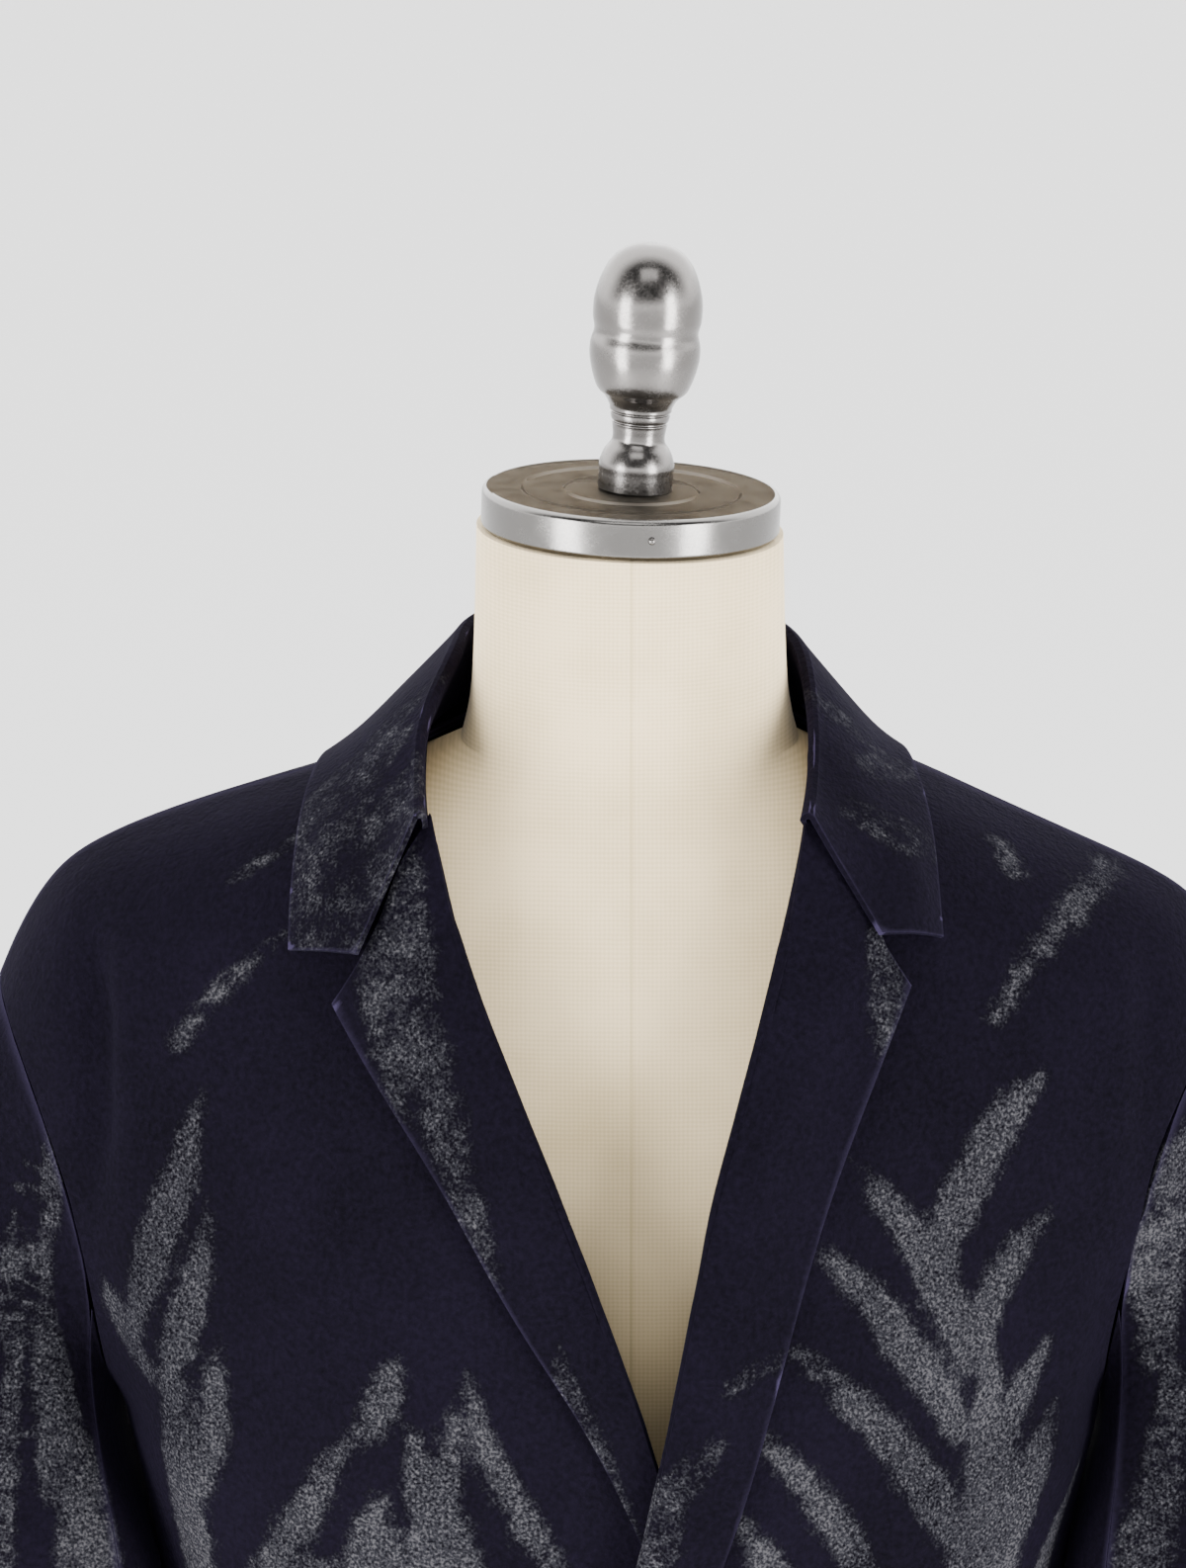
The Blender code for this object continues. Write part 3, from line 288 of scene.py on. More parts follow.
@dataclass(frozen=True)
class Muslin:
    """Unbleached cotton muslin, plain woven and stretched over the form: matt, cream, a little uneven."""

    thread: str = "#dac59d"
    gap: str = "#bfab82"
    seam_x: float = 0.0004  # middle seam of the cover, m
    seam_edge: tuple[float, float] = (0.0002, 0.0011)  # ways from the seam over which its dark line fades, m
    thread_mm: float = 0.9  # real threads are 0.35 mm apart, too fine for the picture, so drawn coarser
    cloud_mm: float = 45.0
    seam_dark: float = 0.35  # how much of the tone the seam takes
    roughness: float = 0.86
    sheen: float = 0.1
    relief: tuple[float, float] = (0.3, 0.3)  # strength and depth in mm of the weave

    def build(self) -> bpy.types.Material:
        """Builds the muslin.

        Returns:
            The muslin's material.
        """
        material, tree, shader = new_surface("unbleached_cotton_muslin")
        place = add_node(tree, "ShaderNodeTexCoord", out="Object")
        # a wave of scale 1 repeats every pi / 10 m, and one repeat is two threads
        inputs = {"Vector": place, "Scale": 1000 / self.thread_mm / 20 * 3.14}
        inputs |= {"Distortion": 1.2, "Detail": 1.0}
        bands = [
            add_node(tree, "ShaderNodeTexWave", inputs, "Fac", wave_type="BANDS", bands_direction=way)
            for way in ("X", "Z")
        ]
        weave = sum_of(tree, [(band, 0.5) for band in bands])
        cloud = add_node(tree, "ShaderNodeTexNoise", {"Vector": place, **lumps(self.cloud_mm, 3.0)})
        across = add_node(tree, "ShaderNodeSeparateXYZ", {0: place}, "X")
        off = add_node(tree, "ShaderNodeMath", {0: across, 1: self.seam_x}, operation="SUBTRACT")
        off = add_node(tree, "ShaderNodeMath", {0: off}, operation="ABSOLUTE")
        flat = add_node(tree, "ShaderNodeMapRange", {"Value": off, **span(*self.seam_edge)})
        tone = sum_of(tree, ((weave, 0.35), (cloud, 0.9), (flat, self.seam_dark)))
        tone = add_node(tree, "ShaderNodeMath", {0: tone, 1: self.seam_dark}, operation="SUBTRACT")
        stops = ((0.30, self.gap), (0.78, self.thread))
        colour = add_node(tree, "ShaderNodeValToRGB", {"Fac": tone}, stops=stops)
        inputs = {"Strength": self.relief[0], "Distance": self.relief[1] * MM, "Height": tone}
        normal = add_node(tree, "ShaderNodeBump", inputs)
        inputs = {"Base Color": colour, "Roughness": self.roughness, "Sheen Weight": self.sheen}
        set_inputs(tree, shader, {**inputs, "Normal": normal})
        return material


@dataclass(frozen=True)
class CastAluminium:
    """Sand-cast aluminium, turned and hand polished, with a faint grain that breaks up reflections."""

    name: str = "polished_cast_aluminium"
    colour: str = "#6f6c6a"
    grain_mm: float = 1.1  # moulding sand is about 0.2 mm, too fine for the picture, so drawn coarser
    roughness: tuple[float, float] = (0.14, 0.34)
    bump: float = 0.12
    skim: str = "#ffffff"  # tint of what is seen at a low angle, darker where the face is dull
    cloud_mm: float = 9.0
    deep_mm: float = 0.3

    def build(self) -> bpy.types.Material:
        """Builds the cast metal.

        Returns:
            The metal's material.
        """
        material, tree, shader = new_surface(self.name)
        place = add_node(tree, "ShaderNodeTexCoord", out="Object")
        sand = add_node(tree, "ShaderNodeTexNoise", {"Vector": place, **lumps(self.grain_mm, 4.0)})
        cloud = add_node(tree, "ShaderNodeTexNoise", {"Vector": place, **lumps(self.cloud_mm)})
        tone = sum_of(tree, ((sand, 0.6), (cloud, 0.6)))
        rough = add_node(tree, "ShaderNodeMapRange", {"Value": tone, **span(0.35, 0.85, *self.roughness)})
        inputs = {"Strength": self.bump, "Distance": self.deep_mm * MM, "Height": tone}
        normal = add_node(tree, "ShaderNodeBump", inputs)
        inputs = {"Base Color": linear(self.colour), "Specular Tint": linear(self.skim), "Metallic": 1.0}
        set_inputs(tree, shader, {**inputs, "Roughness": rough, "Normal": normal})
        return material


@dataclass(frozen=True)
class SatinSteel:
    """Drawn steel tube, belt ground along its length: grey, with fine upright scratches."""

    colour: str = "#7d7e81"
    scratch_mm: float = 1.4  # a belt's scratches are about 0.1 mm apart, too fine for the picture
    long: float = 0.03  # how much longer a scratch is than wide, as width by length
    roughness: tuple[float, float] = (0.26, 0.44)
    relief: tuple[float, float] = (0.1, 0.2)  # strength and depth in mm of the scratches

    def build(self) -> bpy.types.Material:
        """Builds the ground steel.

        Returns:
            The steel's material.
        """
        material, tree, shader = new_surface("satin_ground_steel")
        place = add_node(tree, "ShaderNodeTexCoord", out="Object")
        stretch = add_node(tree, "ShaderNodeMapping", {"Vector": place, "Scale": (1.0, 1.0, self.long)})
        lines = add_node(tree, "ShaderNodeTexNoise", {"Vector": stretch, **lumps(self.scratch_mm, 4.0)})
        rough = add_node(tree, "ShaderNodeMapRange", {"Value": lines, **span(0.3, 0.7, *self.roughness)})
        inputs = {"Strength": self.relief[0], "Distance": self.relief[1] * MM, "Height": lines}
        normal = add_node(tree, "ShaderNodeBump", inputs)
        inputs = {"Base Color": linear(self.colour), "Metallic": 1.0, "Roughness": rough}
        set_inputs(tree, shader, {**inputs, "Normal": normal})
        return material


@dataclass(frozen=True)
class HammeredPaint:
    """Grey stove paint sprayed on cast iron: satin, with a low orange-peel skin and slow cloudy shades."""

    colour: str = "#45464a"
    dark: str = "#37383b"
    peel_mm: float = 3.0
    cloud_mm: float = 50.0
    roughness: float = 0.42
    relief: tuple[float, float] = (0.2, 0.4)  # strength and depth in mm of the orange peel

    def build(self) -> bpy.types.Material:
        """Builds the paint.

        Returns:
            The paint's material.
        """
        material, tree, shader = new_surface("grey_stove_paint")
        place = add_node(tree, "ShaderNodeTexCoord", out="Object")
        peel = add_node(tree, "ShaderNodeTexNoise", {"Vector": place, **lumps(self.peel_mm)})
        cloud = add_node(tree, "ShaderNodeTexNoise", {"Vector": place, **lumps(self.cloud_mm, 3.0)})
        stops = ((0.35, self.dark), (0.65, self.colour))
        colour = add_node(tree, "ShaderNodeValToRGB", {"Fac": cloud}, stops=stops)
        inputs = {"Strength": self.relief[0], "Distance": self.relief[1] * MM, "Height": peel}
        normal = add_node(tree, "ShaderNodeBump", inputs)
        set_inputs(tree, shader, {"Base Color": colour, "Roughness": self.roughness, "Normal": normal})
        return material


@dataclass(frozen=True)
class DarkHorn:
    """Polished dark horn: deep blue-brown with soft lighter streaks and a clear gloss."""

    dark: str = "#14121a"
    streak: str = "#3a3440"
    streak_mm: float = 5.0
    long: float = 0.25  # how much longer a streak is than wide, as width by length
    roughness: float = 0.36
    ior: float = 1.54

    def build(self) -> bpy.types.Material:
        """Builds the horn.

        Returns:
            The horn's material.
        """
        material, tree, shader = new_surface("polished_dark_horn")
        place = add_node(tree, "ShaderNodeTexCoord", out="Object")
        stretch = add_node(tree, "ShaderNodeMapping", {"Vector": place, "Scale": (1.0, 1.0, self.long)})
        streaks = add_node(tree, "ShaderNodeTexNoise", {"Vector": stretch, **lumps(self.streak_mm, 3.0)})
        stops = ((0.45, self.dark), (0.75, self.streak))
        colour = add_node(tree, "ShaderNodeValToRGB", {"Fac": streaks}, stops=stops)
        set_inputs(tree, shader, {"Base Color": colour, "Roughness": self.roughness, "IOR": self.ior})
        return material


@dataclass(frozen=True)
class ButtonThread:
    """Waxed navy linen thread, twisted: matt and slightly ribbed."""

    colour: str = "#2a2640"
    dark: str = "#191628"
    twist_mm: float = 0.8
    roughness: float = 0.8

    def build(self) -> bpy.types.Material:
        """Builds the thread's wax and twist.

        Returns:
            The thread's material.
        """
        material, tree, shader = new_surface("waxed_linen_thread")
        place = add_node(tree, "ShaderNodeTexCoord", out="Object")
        twist = add_node(tree, "ShaderNodeTexNoise", {"Vector": place, **lumps(self.twist_mm)})
        stops = ((0.3, self.dark), (0.7, self.colour))
        colour = add_node(tree, "ShaderNodeValToRGB", {"Fac": twist}, stops=stops)
        set_inputs(tree, shader, {"Base Color": colour, "Roughness": self.roughness})
        return material


# ---- the pattern's leaves ----
BLADE_STEPS = 12  # straight runs that make a blade's bent middle line
BLADE_POINT = 3.6  # how late a blade narrows to its point
BLADE_FOOT = (0.7, 0.3)  # width of a blade at its foot, and where it is whole, as shares
STEM_WIDE = 1.1  # width of a frond's own stem as a share of its blades'


@dataclass(frozen=True)
class Blade:
    """One leaf blade on the cloth, in millimetres of the cloth's own places.

    Attributes:
        base: where it starts, across and up.
        tip: where it ends in a point.
        width: half width at its widest.
        bow: how far its middle is bent to the left of the way from base to tip, as a share of its length.
    """

    base: tuple[float, float]
    tip: tuple[float, float]
    width: float
    bow: float = 0.05

    def depth(self, across: np.ndarray, up: np.ndarray) -> np.ndarray:
        """Works out how deep places lie inside the blade.

        Args:
            across: places across, mm.
            up: places up, mm.

        Returns:
            Depth in millimetres, negative outside.
        """
        base = np.array(self.base)
        run = np.array(self.tip) - base
        left = np.array((-run[1], run[0])) * self.bow
        best = np.full(across.shape, -99.0)
        for k in range(BLADE_STEPS):
            ends = []
            for share in (k / BLADE_STEPS, (k + 1) / BLADE_STEPS):
                ends.append(base + run * share + left * 4 * share * (1 - share))
            (ax, ay), (bx, by) = ends
            dx, dy = bx - ax, by - ay
            along = np.clip(((across - ax) * dx + (up - ay) * dy) / (dx * dx + dy * dy), 0, 1)
            away = np.hypot(across - ax - along * dx, up - ay - along * dy)
            place = (k + along) / BLADE_STEPS
            foot = BLADE_FOOT[0] + (1 - BLADE_FOOT[0]) * np.minimum(1, place / BLADE_FOOT[1])
            width = self.width * (1 - place**BLADE_POINT) * foot
            best = np.maximum(best, width - away)
        return best


@dataclass(frozen=True)
class Frond:
    """A stem with blades in pairs that lean out and up from it, as on a palm frond.

    Attributes:
        root: foot of the stem, across and up, mm.
        heading: way of the stem in degrees from straight up, + to the left as worn.
        length: length of the stem, mm.
        pairs: number of pairs of blades.
        width: half width of its blades, mm.
        seed: sets its unevenness.
    """

    root: tuple[float, float]
    heading: float
    length: float
    pairs: int = 4
    width: float = 9.0
    seed: int = 1

    def blades(self) -> list[Blade]:
        """Draws the frond.

        Returns:
            Its stem and its pairs of blades.
        """
        draw = random.Random(self.seed)
        way = math.radians(self.heading)
        up = (math.sin(way), math.cos(way))
        out = [Blade(self.root, self._at(up, 1.0), self.width * STEM_WIDE, draw.uniform(-0.04, 0.04))]
        for pair in range(self.pairs):
            for side in (-1, 1):
                share = (pair + draw.uniform(0.1, 0.6)) / self.pairs
                foot = self._at(up, share * 0.85)
                turn = way + side * math.radians(draw.uniform(24, 42))
                reach = self.length * draw.uniform(0.42, 0.68) * (1.0 - 0.35 * share)
                tip = (foot[0] + math.sin(turn) * reach, foot[1] + math.cos(turn) * reach)
                out.append(Blade(foot, tip, self.width * draw.uniform(0.75, 1.15), -side * 0.07))
        return out

    def _at(self, up: tuple[float, float], share: float) -> tuple[float, float]:
        """Returns the place at a share of the stem."""
        return (self.root[0] + up[0] * self.length * share, self.root[1] + up[1] * self.length * share)


class Girth:
    """Turns places round the coat's body into millimetres of cloth from the middle of the front."""

    def __init__(self) -> None:
        """Measures the ring round which the pattern is laid."""
        turns = np.linspace(-math.pi, math.pi, 721)
        x = GIRTH_HALF * np.sin(turns)
        y = -GIRTH_DEPTH * np.cos(turns)
        steps = np.hypot(np.diff(x), np.diff(y))
        arc = np.concatenate(((0.0,), np.cumsum(steps)))
        self.turns = turns
        self.arc = arc - arc[len(arc) // 2]

    def across(self, x: np.ndarray, y: np.ndarray) -> np.ndarray:
        """Returns the place across the cloth, mm, from the middle of the front."""
        turn = np.arctan2((x - CENTRE_X) / GIRTH_HALF, -y / GIRTH_DEPTH)
        return np.interp(turn, self.turns, self.arc)


GIRTH = Girth()


def cloth_places(part: Part, side: Side, points: np.ndarray) -> tuple[np.ndarray, np.ndarray]:
    """Turns points of a piece into places on its cloth.

    Args:
        part: kind of piece.
        side: side of the wearer.
        points: points in millimetres.

    Returns:
        Places across and up the cloth, mm.
    """
    x, y, z = points.T
    if part is Part.BODY:
        shoulder = 0.6 * np.clip((z - SHOULDER_FROM) / 90, 0, 1)
        return GIRTH.across(x, y), z + shoulder * np.clip(y + 110, 0, 115)
    if part is Part.LAPEL:
        return x, z
    if part is Part.COLLAR:
        return COLLAR_ROUND * np.arctan2(x - CENTRE_X, -y), z * 1.25
    reach = (x * side.value - SLEEVE_AXIS[0]) * side.value
    return SLEEVE_ROUND * np.arctan2(reach, -(y - SLEEVE_AXIS[1])), z


def outward_of(part: Part, side: Side, points: np.ndarray) -> np.ndarray:
    """Works out which way is out of a piece at its points.

    Args:
        part: kind of piece.
        side: side of the wearer.
        points: points in millimetres.

    Returns:
        Unit directions out, one for each point.
    """
    x, y, z = points.T
    if part is Part.LAPEL:
        out = np.stack((0.2 * np.sign(x), -np.ones_like(x), 0 * z), 1)
    elif part is Part.SLEEVE:
        lean = np.clip((z - 1150) / 250, 0, 1) * 60
        out = np.stack((x - side.value * (SLEEVE_AXIS[0] - lean), y - SLEEVE_AXIS[1], 0 * z), 1)
        out[:, 2] = np.clip(z - 1250, 0, 200)
    else:
        rise = np.clip((z - SHOULDER_FROM) / 130, 0, 1.2)
        out = np.stack(((x - CENTRE_X) * 0.75, y, 90 * rise), 1)
    return out / np.linalg.norm(out, axis=1, keepdims=True)


# ---- mesh helpers ----
def coordinates(mesh: bpy.types.Mesh) -> np.ndarray:
    """Reads a mesh's points.

    Args:
        mesh: the mesh.

    Returns:
        Its points, mm.
    """
    flat = np.empty(len(mesh.vertices) * 3)
    mesh.vertices.foreach_get("co", flat)
    return flat.reshape(-1, 3) / MM


def set_coordinates(mesh: bpy.types.Mesh, points: np.ndarray) -> None:
    """Moves the points of a mesh to new places in millimetres."""
    mesh.vertices.foreach_set("co", (points * MM).reshape(-1))
    mesh.update()


def point_normals(mesh: bpy.types.Mesh) -> np.ndarray:
    """Reads a mesh's directions out.

    Args:
        mesh: the mesh.

    Returns:
        The normal at each point.
    """
    flat = np.empty(len(mesh.vertices) * 3)
    mesh.vertex_normals.foreach_get("vector", flat)
    return flat.reshape(-1, 3)


def store(mesh: bpy.types.Mesh, name: str, values: np.ndarray) -> None:
    """Stores a value for each point of a mesh under a name that its finish reads."""
    layer = mesh.attributes.new(name, "FLOAT", "POINT")
    layer.data.foreach_set("value", values)


def new_object(name: str, mesh: bpy.types.Mesh) -> bpy.types.Object:
    """Adds an object to the scene.

    Args:
        name: name of the object.
        mesh: mesh that it holds.

    Returns:
        The object.
    """
    thing = bpy.data.objects.new(name, mesh)
    bpy.context.scene.collection.objects.link(thing)
    return thing


def apply_modifiers(thing: bpy.types.Object) -> None:
    """Makes an object's modifiers part of its mesh.

    Args:
        thing: the object.
    """
    graph = bpy.context.evaluated_depsgraph_get()
    mesh = bpy.data.meshes.new_from_object(thing.evaluated_get(graph))
    thing.modifiers.clear()
    thing.data = mesh
    mesh.name = thing.name


def mesh_of(
    name: str, points: Iterable[Sequence[float]], faces: Sequence[Sequence[int]]
) -> bpy.types.Mesh:
    """Makes a smooth mesh.

    Args:
        name: name of the mesh.
        points: points in millimetres.
        faces: faces as numbers of points.

    Returns:
        The mesh, with its faces turned out.
    """
    mesh = bpy.data.meshes.new(name)
    mesh.from_pydata([tuple(float(c) * MM for c in p) for p in points], [], faces)
    body = bmesh.new()
    body.from_mesh(mesh)
    bmesh.ops.recalc_face_normals(body, faces=body.faces)
    body.to_mesh(mesh)
    body.free()
    mesh.shade_smooth()
    return mesh


def is_sharp(edge: bmesh.types.BMEdge) -> bool:
    """Tells whether two faces meet sharply at an edge."""
    return len(edge.link_faces) == 2 and edge.calc_face_angle(0.0) > SHARP


def fine_copy(node: str, name: str, levels: int, long_edge: float = 0.06) -> bpy.types.Object:
    """Copies a solid as a fine, smoothly curved mesh whose sharp edges stay where they are.

    Args:
        node: name of the solid.
        name: name of the new piece.
        levels: number of subdivisions.
        long_edge: edges longer than this, in metres, are halved first.

    Returns:
        The new piece.
    """
    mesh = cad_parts[node].data.copy()
    body = bmesh.new()
    body.from_mesh(mesh)
    bmesh.ops.remove_doubles(body, verts=body.verts, dist=SAME_PLACE)
    bmesh.ops.join_triangles(
        body,
        faces=body.faces,
        cmp_seam=False,
        angle_face_threshold=math.radians(35),
        angle_shape_threshold=math.radians(80),
    )
    while True:
        long_ones = [e for e in body.edges if e.calc_length() > long_edge]
        if not long_ones:
            break
        bmesh.ops.subdivide_edges(body, edges=long_ones, cuts=1, use_grid_fill=True)
    crease = body.edges.layers.float.new("crease_edge")
    for edge in body.edges:
        if is_sharp(edge):
            edge[crease] = 1.0
    body.to_mesh(mesh)
    body.free()
    mesh.materials.clear()
    thing = new_object(name, mesh)
    thing.modifiers.new("fine", "SUBSURF").levels = levels
    return thing


def soften_edges(thing: bpy.types.Object, width: float) -> None:
    """Rounds the sharp edges of a piece and makes its modifiers part of it.

    Args:
        thing: the piece.
        width: width of the rounding, m.
    """
    bevel = thing.modifiers.new("edge", "BEVEL")
    bevel.limit_method = "ANGLE"
    bevel.angle_limit = SHARP
    bevel.width = width
    bevel.segments = 2
    bevel.use_clamp_overlap = True
    apply_modifiers(thing)
    thing.data.shade_smooth()


def waves(points: np.ndarray, size: float, seed: int) -> np.ndarray:
    """Adds up a few slow waves through space, for unevenness that is the same on all pieces.

    Args:
        points: points in millimetres.
        size: length of a wave, mm.
        seed: sets the waves' ways.

    Returns:
        A value about from -1 to 1 for each point.
    """
    draw = np.random.default_rng(seed)
    total = np.zeros(len(points))
    for _ in range(5):
        way = draw.normal(size=3)
        way *= 2 * math.pi / (size * draw.uniform(0.75, 1.5)) / np.linalg.norm(way)
        total += np.sin(points @ way + draw.uniform(0, 2 * math.pi))
    return total / 2.6


def finish_piece(
    thing: bpy.types.Object, material: bpy.types.Material, slot: str, *nodes: str
) -> bpy.types.Object:
    """Dresses a piece, rides it on the root and hides the solids that it stands for.

    Args:
        thing: the piece.
        material: its finish.
        slot: name of a material slot; not used.
        nodes: solids that it replaces.

    Returns:
        The piece.
    """
    thing.data.materials.clear()
    thing.data.materials.append(material)
    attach(thing, "root")
    if nodes:
        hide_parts(*nodes)
    log.info("%s: %d faces", thing.name, len(thing.data.polygons))
    return thing


# ---- the coat ----
FACES_IN = -0.35  # points that face the way out less than this are the cloth's inside, which has no leaves
HOLLOW_REACH = 221.0  # way from the coat's middle to the hollow by the armhole, mm


@dataclass(frozen=True)
class Cut:
    """How a cloth piece was cut and how it hangs.

    Attributes:
        flat: width and length of the cloth it was cut from, m.
        area: its flat area, square metres.
        held: how it is held.
        rests_on: what it lies on or hangs from.
    """

    flat: tuple[float, float]
    area: float
    held: str
    rests_on: tuple[str, ...]


@dataclass(frozen=True)
class Gorge:
    """The top of a lapel, which goes on a little way under the collar.

    Attributes:
        line: places of the lapel's top edge, as reach from the middle and height, mm.
        rise: how far the cloth goes on up, as reach from the middle and rise, mm.
    """

    line: tuple[tuple[float, float], ...]
    rise: tuple[tuple[float, float], ...]

    def moves(self, points: np.ndarray) -> np.ndarray:
        """Works out how far the lapel's cloth is moved to close the gap.

        Args:
            points: points in millimetres.

        Returns:
            The moves, mm.
        """
        reach = np.abs(points[:, 0])
        height = np.interp(reach, *zip(*self.line))
        near = np.clip(1 - (height - points[:, 2]) / 25, 0, 1)
        rise = np.interp(reach, *zip(*self.rise)) * near
        return np.stack((0 * rise, 0.12 * rise, rise), 1)


GORGES = {
    Side.RIGHT: Gorge(
        ((81, 1454), (86, 1449), (94, 1441), (102, 1427), (110, 1409), (121, 1393)),
        ((80, 14), (86, 11), (94, 9), (102, 0)),
    ),
    Side.LEFT: Gorge(
        ((72, 1454), (86, 1443), (95, 1432), (103, 1414), (113, 1400)),
        ((70, 14), (86, 11), (96, 9), (103, 0)),
    ),
}


def sharp_edges(node: str, step: float = 3.0) -> np.ndarray:
    """Finds places along a solid's sharp edges.

    Args:
        node: name of the solid.
        step: way between places, mm.

    Returns:
        The places, mm.
    """
    body = bmesh.new()
    body.from_mesh(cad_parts[node].data)
    bmesh.ops.remove_doubles(body, verts=body.verts, dist=SAME_PLACE)
    found = []
    for edge in body.edges:
        if is_sharp(edge):
            one, two = (np.array(corner.co) / MM for corner in edge.verts)
            count = int(np.linalg.norm(two - one) / step) + 2
            found.append(one + (two - one) * np.linspace(0, 1, count)[:, None])
    body.free()
    return np.concatenate(found)


def tree_of(places: np.ndarray) -> kdtree.KDTree:
    """Sorts places into a tree in which the nearest one is found fast.

    Args:
        places: the places, mm.

    Returns:
        The tree.
    """
    tree = kdtree.KDTree(len(places))
    for k, place in enumerate(places):
        tree.insert(place, k)
    tree.balance()
    return tree


def lay_pattern(
    mesh: bpy.types.Mesh, part: Part, side: Side, blades: Sequence[Blade], density: float = LEAF_FADE
) -> None:
    """Stores how deep each outer point of a piece lies in its leaves, in mm.

    Args:
        mesh: the piece's mesh.
        part: kind of piece.
        side: side of the wearer.
        blades: its leaves.
        density: greatest depth to store, less where the grey is thin, mm.
    """
    points = coordinates(mesh)
    across, up = cloth_places(part, side, points)
    depth = np.full(len(points), -LEAF_FADE)
    for blade in blades:
        ends = np.array((blade.base, blade.tip))
        margin = blade.width + 12 + abs(blade.bow) * np.linalg.norm(ends[1] - ends[0])
        low, high = ends.min(0) - margin, ends.max(0) + margin
        near = (across > low[0]) & (across < high[0]) & (up > low[1]) & (up < high[1])
        if near.any():
            depth[near] = np.maximum(depth[near], blade.depth(across[near], up[near]))
    facing = np.sum(point_normals(mesh) * outward_of(part, side, points), axis=1)
    depth = np.where(facing > FACES_IN, np.clip(depth, -LEAF_FADE, density), -LEAF_FADE)
    store(mesh, "blade", depth)


@dataclass
class ClothPiece:
    """One sewn piece of the coat, built as a fine copy of its solid with soft drape and its pattern.

    Attributes:
        node: the solid that it stands for.
        part: kind of piece.
        side: side of the wearer.
        cut: how it was cut and how it hangs.
        blades: its leaves.
        levels: number of subdivisions.
        density: greatest depth in the leaves, less where the grey is thin, mm.
        trough: depth of the hollow by the armhole, mm.
        drape: height of the slow waves of worn cloth, mm.
        crease: height of a sleeve's creases, mm.
        press: how far the collar's front is pressed back, mm.
    """

    node: str
    part: Part
    side: Side
    cut: Cut
    blades: list[Blade] = field(default_factory=list)
    levels: int = 2
    density: float = LEAF_FADE
    trough: float = 0.0
    drape: float = 1.6
    crease: float = 2.6
    press: float = 1.2

    def build(self, wool: bpy.types.Material) -> bpy.types.Object:
        """Args:
            wool: material of the cloth.

        Returns:
            The piece.
        """
        thing = fine_copy(self.node, f"{self.node}_cloth", self.levels)
        apply_modifiers(thing)
        points = coordinates(thing.data)
        set_coordinates(thing.data, points + self._drape(points))
        soften_edges(thing, EDGE_ROUND)
        lay_pattern(thing.data, self.part, self.side, self.blades, self.density)
        self._mark_edges(thing.data)
        return finish_piece(thing, wool, "brushed_wool", self.node)

    def declare(self, thing: bpy.types.Object, with_pieces: Sequence[bpy.types.Object] = ()) -> None:
        """Args:
            thing: the piece as built; not used.
            with_pieces: pieces that lie on it; not used.
        """

    def _drape(self, points: np.ndarray) -> np.ndarray:
        """Works out the soft unevenness of worn cloth.

        Args:
            points: points in millimetres.

        Returns:
            How far they are moved, mm.
        """
        x, y, z = points.T
        if self.part is Part.COLLAR:
            front = np.clip((1452 - z) / 14, 0, 1) * np.clip((-60 - y) / 15, 0, 1)
            return np.stack((0 * x, self.press * front, 0 * z), 1)
        if self.part is Part.SLEEVE:
            out = outward_of(self.part, self.side, points)
            free = np.clip((np.abs(x - CENTRE_X) - 225) / 30, 0, 1) * np.clip((1380 - z) / 120, 0, 1)
            creases = waves(points * (1, 1, 1.8), 120, 11)
            return out * (free * self.crease * creases)[:, None] + self._to_armhole(points)
        if self.part is Part.LAPEL:
            return GORGES[self.side].moves(points) + self._body_drape(points)
        return self._body_drape(points)

    def _to_armhole(self, points: np.ndarray) -> np.ndarray:
        """Works out the moves that bring a sleeve's rim up against the body at the armhole.

        Args:
            points: points in millimetres.

        Returns:
            The moves, mm.
        """
        edges = np.concatenate([sharp_edges(node) for node in self.cut.rests_on])
        edges = edges[edges[:, 2] > ARMHOLE_FROM]
        tree = tree_of(edges)
        found = [tree.find(place) for place in points]
        away = np.array([hit[2] for hit in found])
        way = edges[[hit[1] for hit in found]] - points
        share = np.clip(1 - away / 6, 0, 1) * np.clip((points[:, 2] - ARMHOLE_FROM - 12) / 10, 0, 1)
        return way * share[:, None]

    def _body_drape(self, points: np.ndarray) -> np.ndarray:
        """Works out the slow waves of the coat's body and lapels, and the hollow by the armhole.

        Args:
            points: points in millimetres.

        Returns:
            The moves along the ways out, mm.
        """
        x, y, z = points.T
        reach = np.abs(x - CENTRE_X)
        free = np.clip((1400 - z) / 140, 0, 1) * np.clip((196 - reach) / 40, 0, 1)
        lift = self.drape * waves(points * (1, 1, 0.45), 150, 5)
        hollow = np.exp(-(((reach - HOLLOW_REACH) / 8) ** 2)) * np.clip((y + 30) / -25, 0, 1)
        hollow *= np.clip((1425 - z) / 50, 0, 1) * np.clip((z - 1285) / 45, 0, 1)
        out = outward_of(Part.BODY, self.side, points)
        return out * (free * lift - self.trough * hollow)[:, None]

    def _mark_edges(self, mesh: bpy.types.Mesh) -> None:
        """Marks what lies by the piece's open and sewn edges, apart from the fold of a lapel, where the wool
        lays its painted edge highlight.

        Args:
            mesh: the piece's mesh.
        """
        edges = sharp_edges(self.node)
        if self.part in (Part.BODY, Part.LAPEL) and self.node != "back":
            inward = edges[:, 0] * -self.side.value
            fold = np.array([inward[np.abs(edges[:, 2] - z) < 5].max() for z in edges[:, 2]])
            edges = edges[(fold - inward > 6) | (edges[:, 2] < ROLL_FROM)]
        tree = tree_of(edges + self._drape(edges))
        away = np.array([tree.find(place)[2] for place in coordinates(mesh)])
        store(mesh, "sewn_edge", np.clip((5.0 - away) / 2, 0, 1))


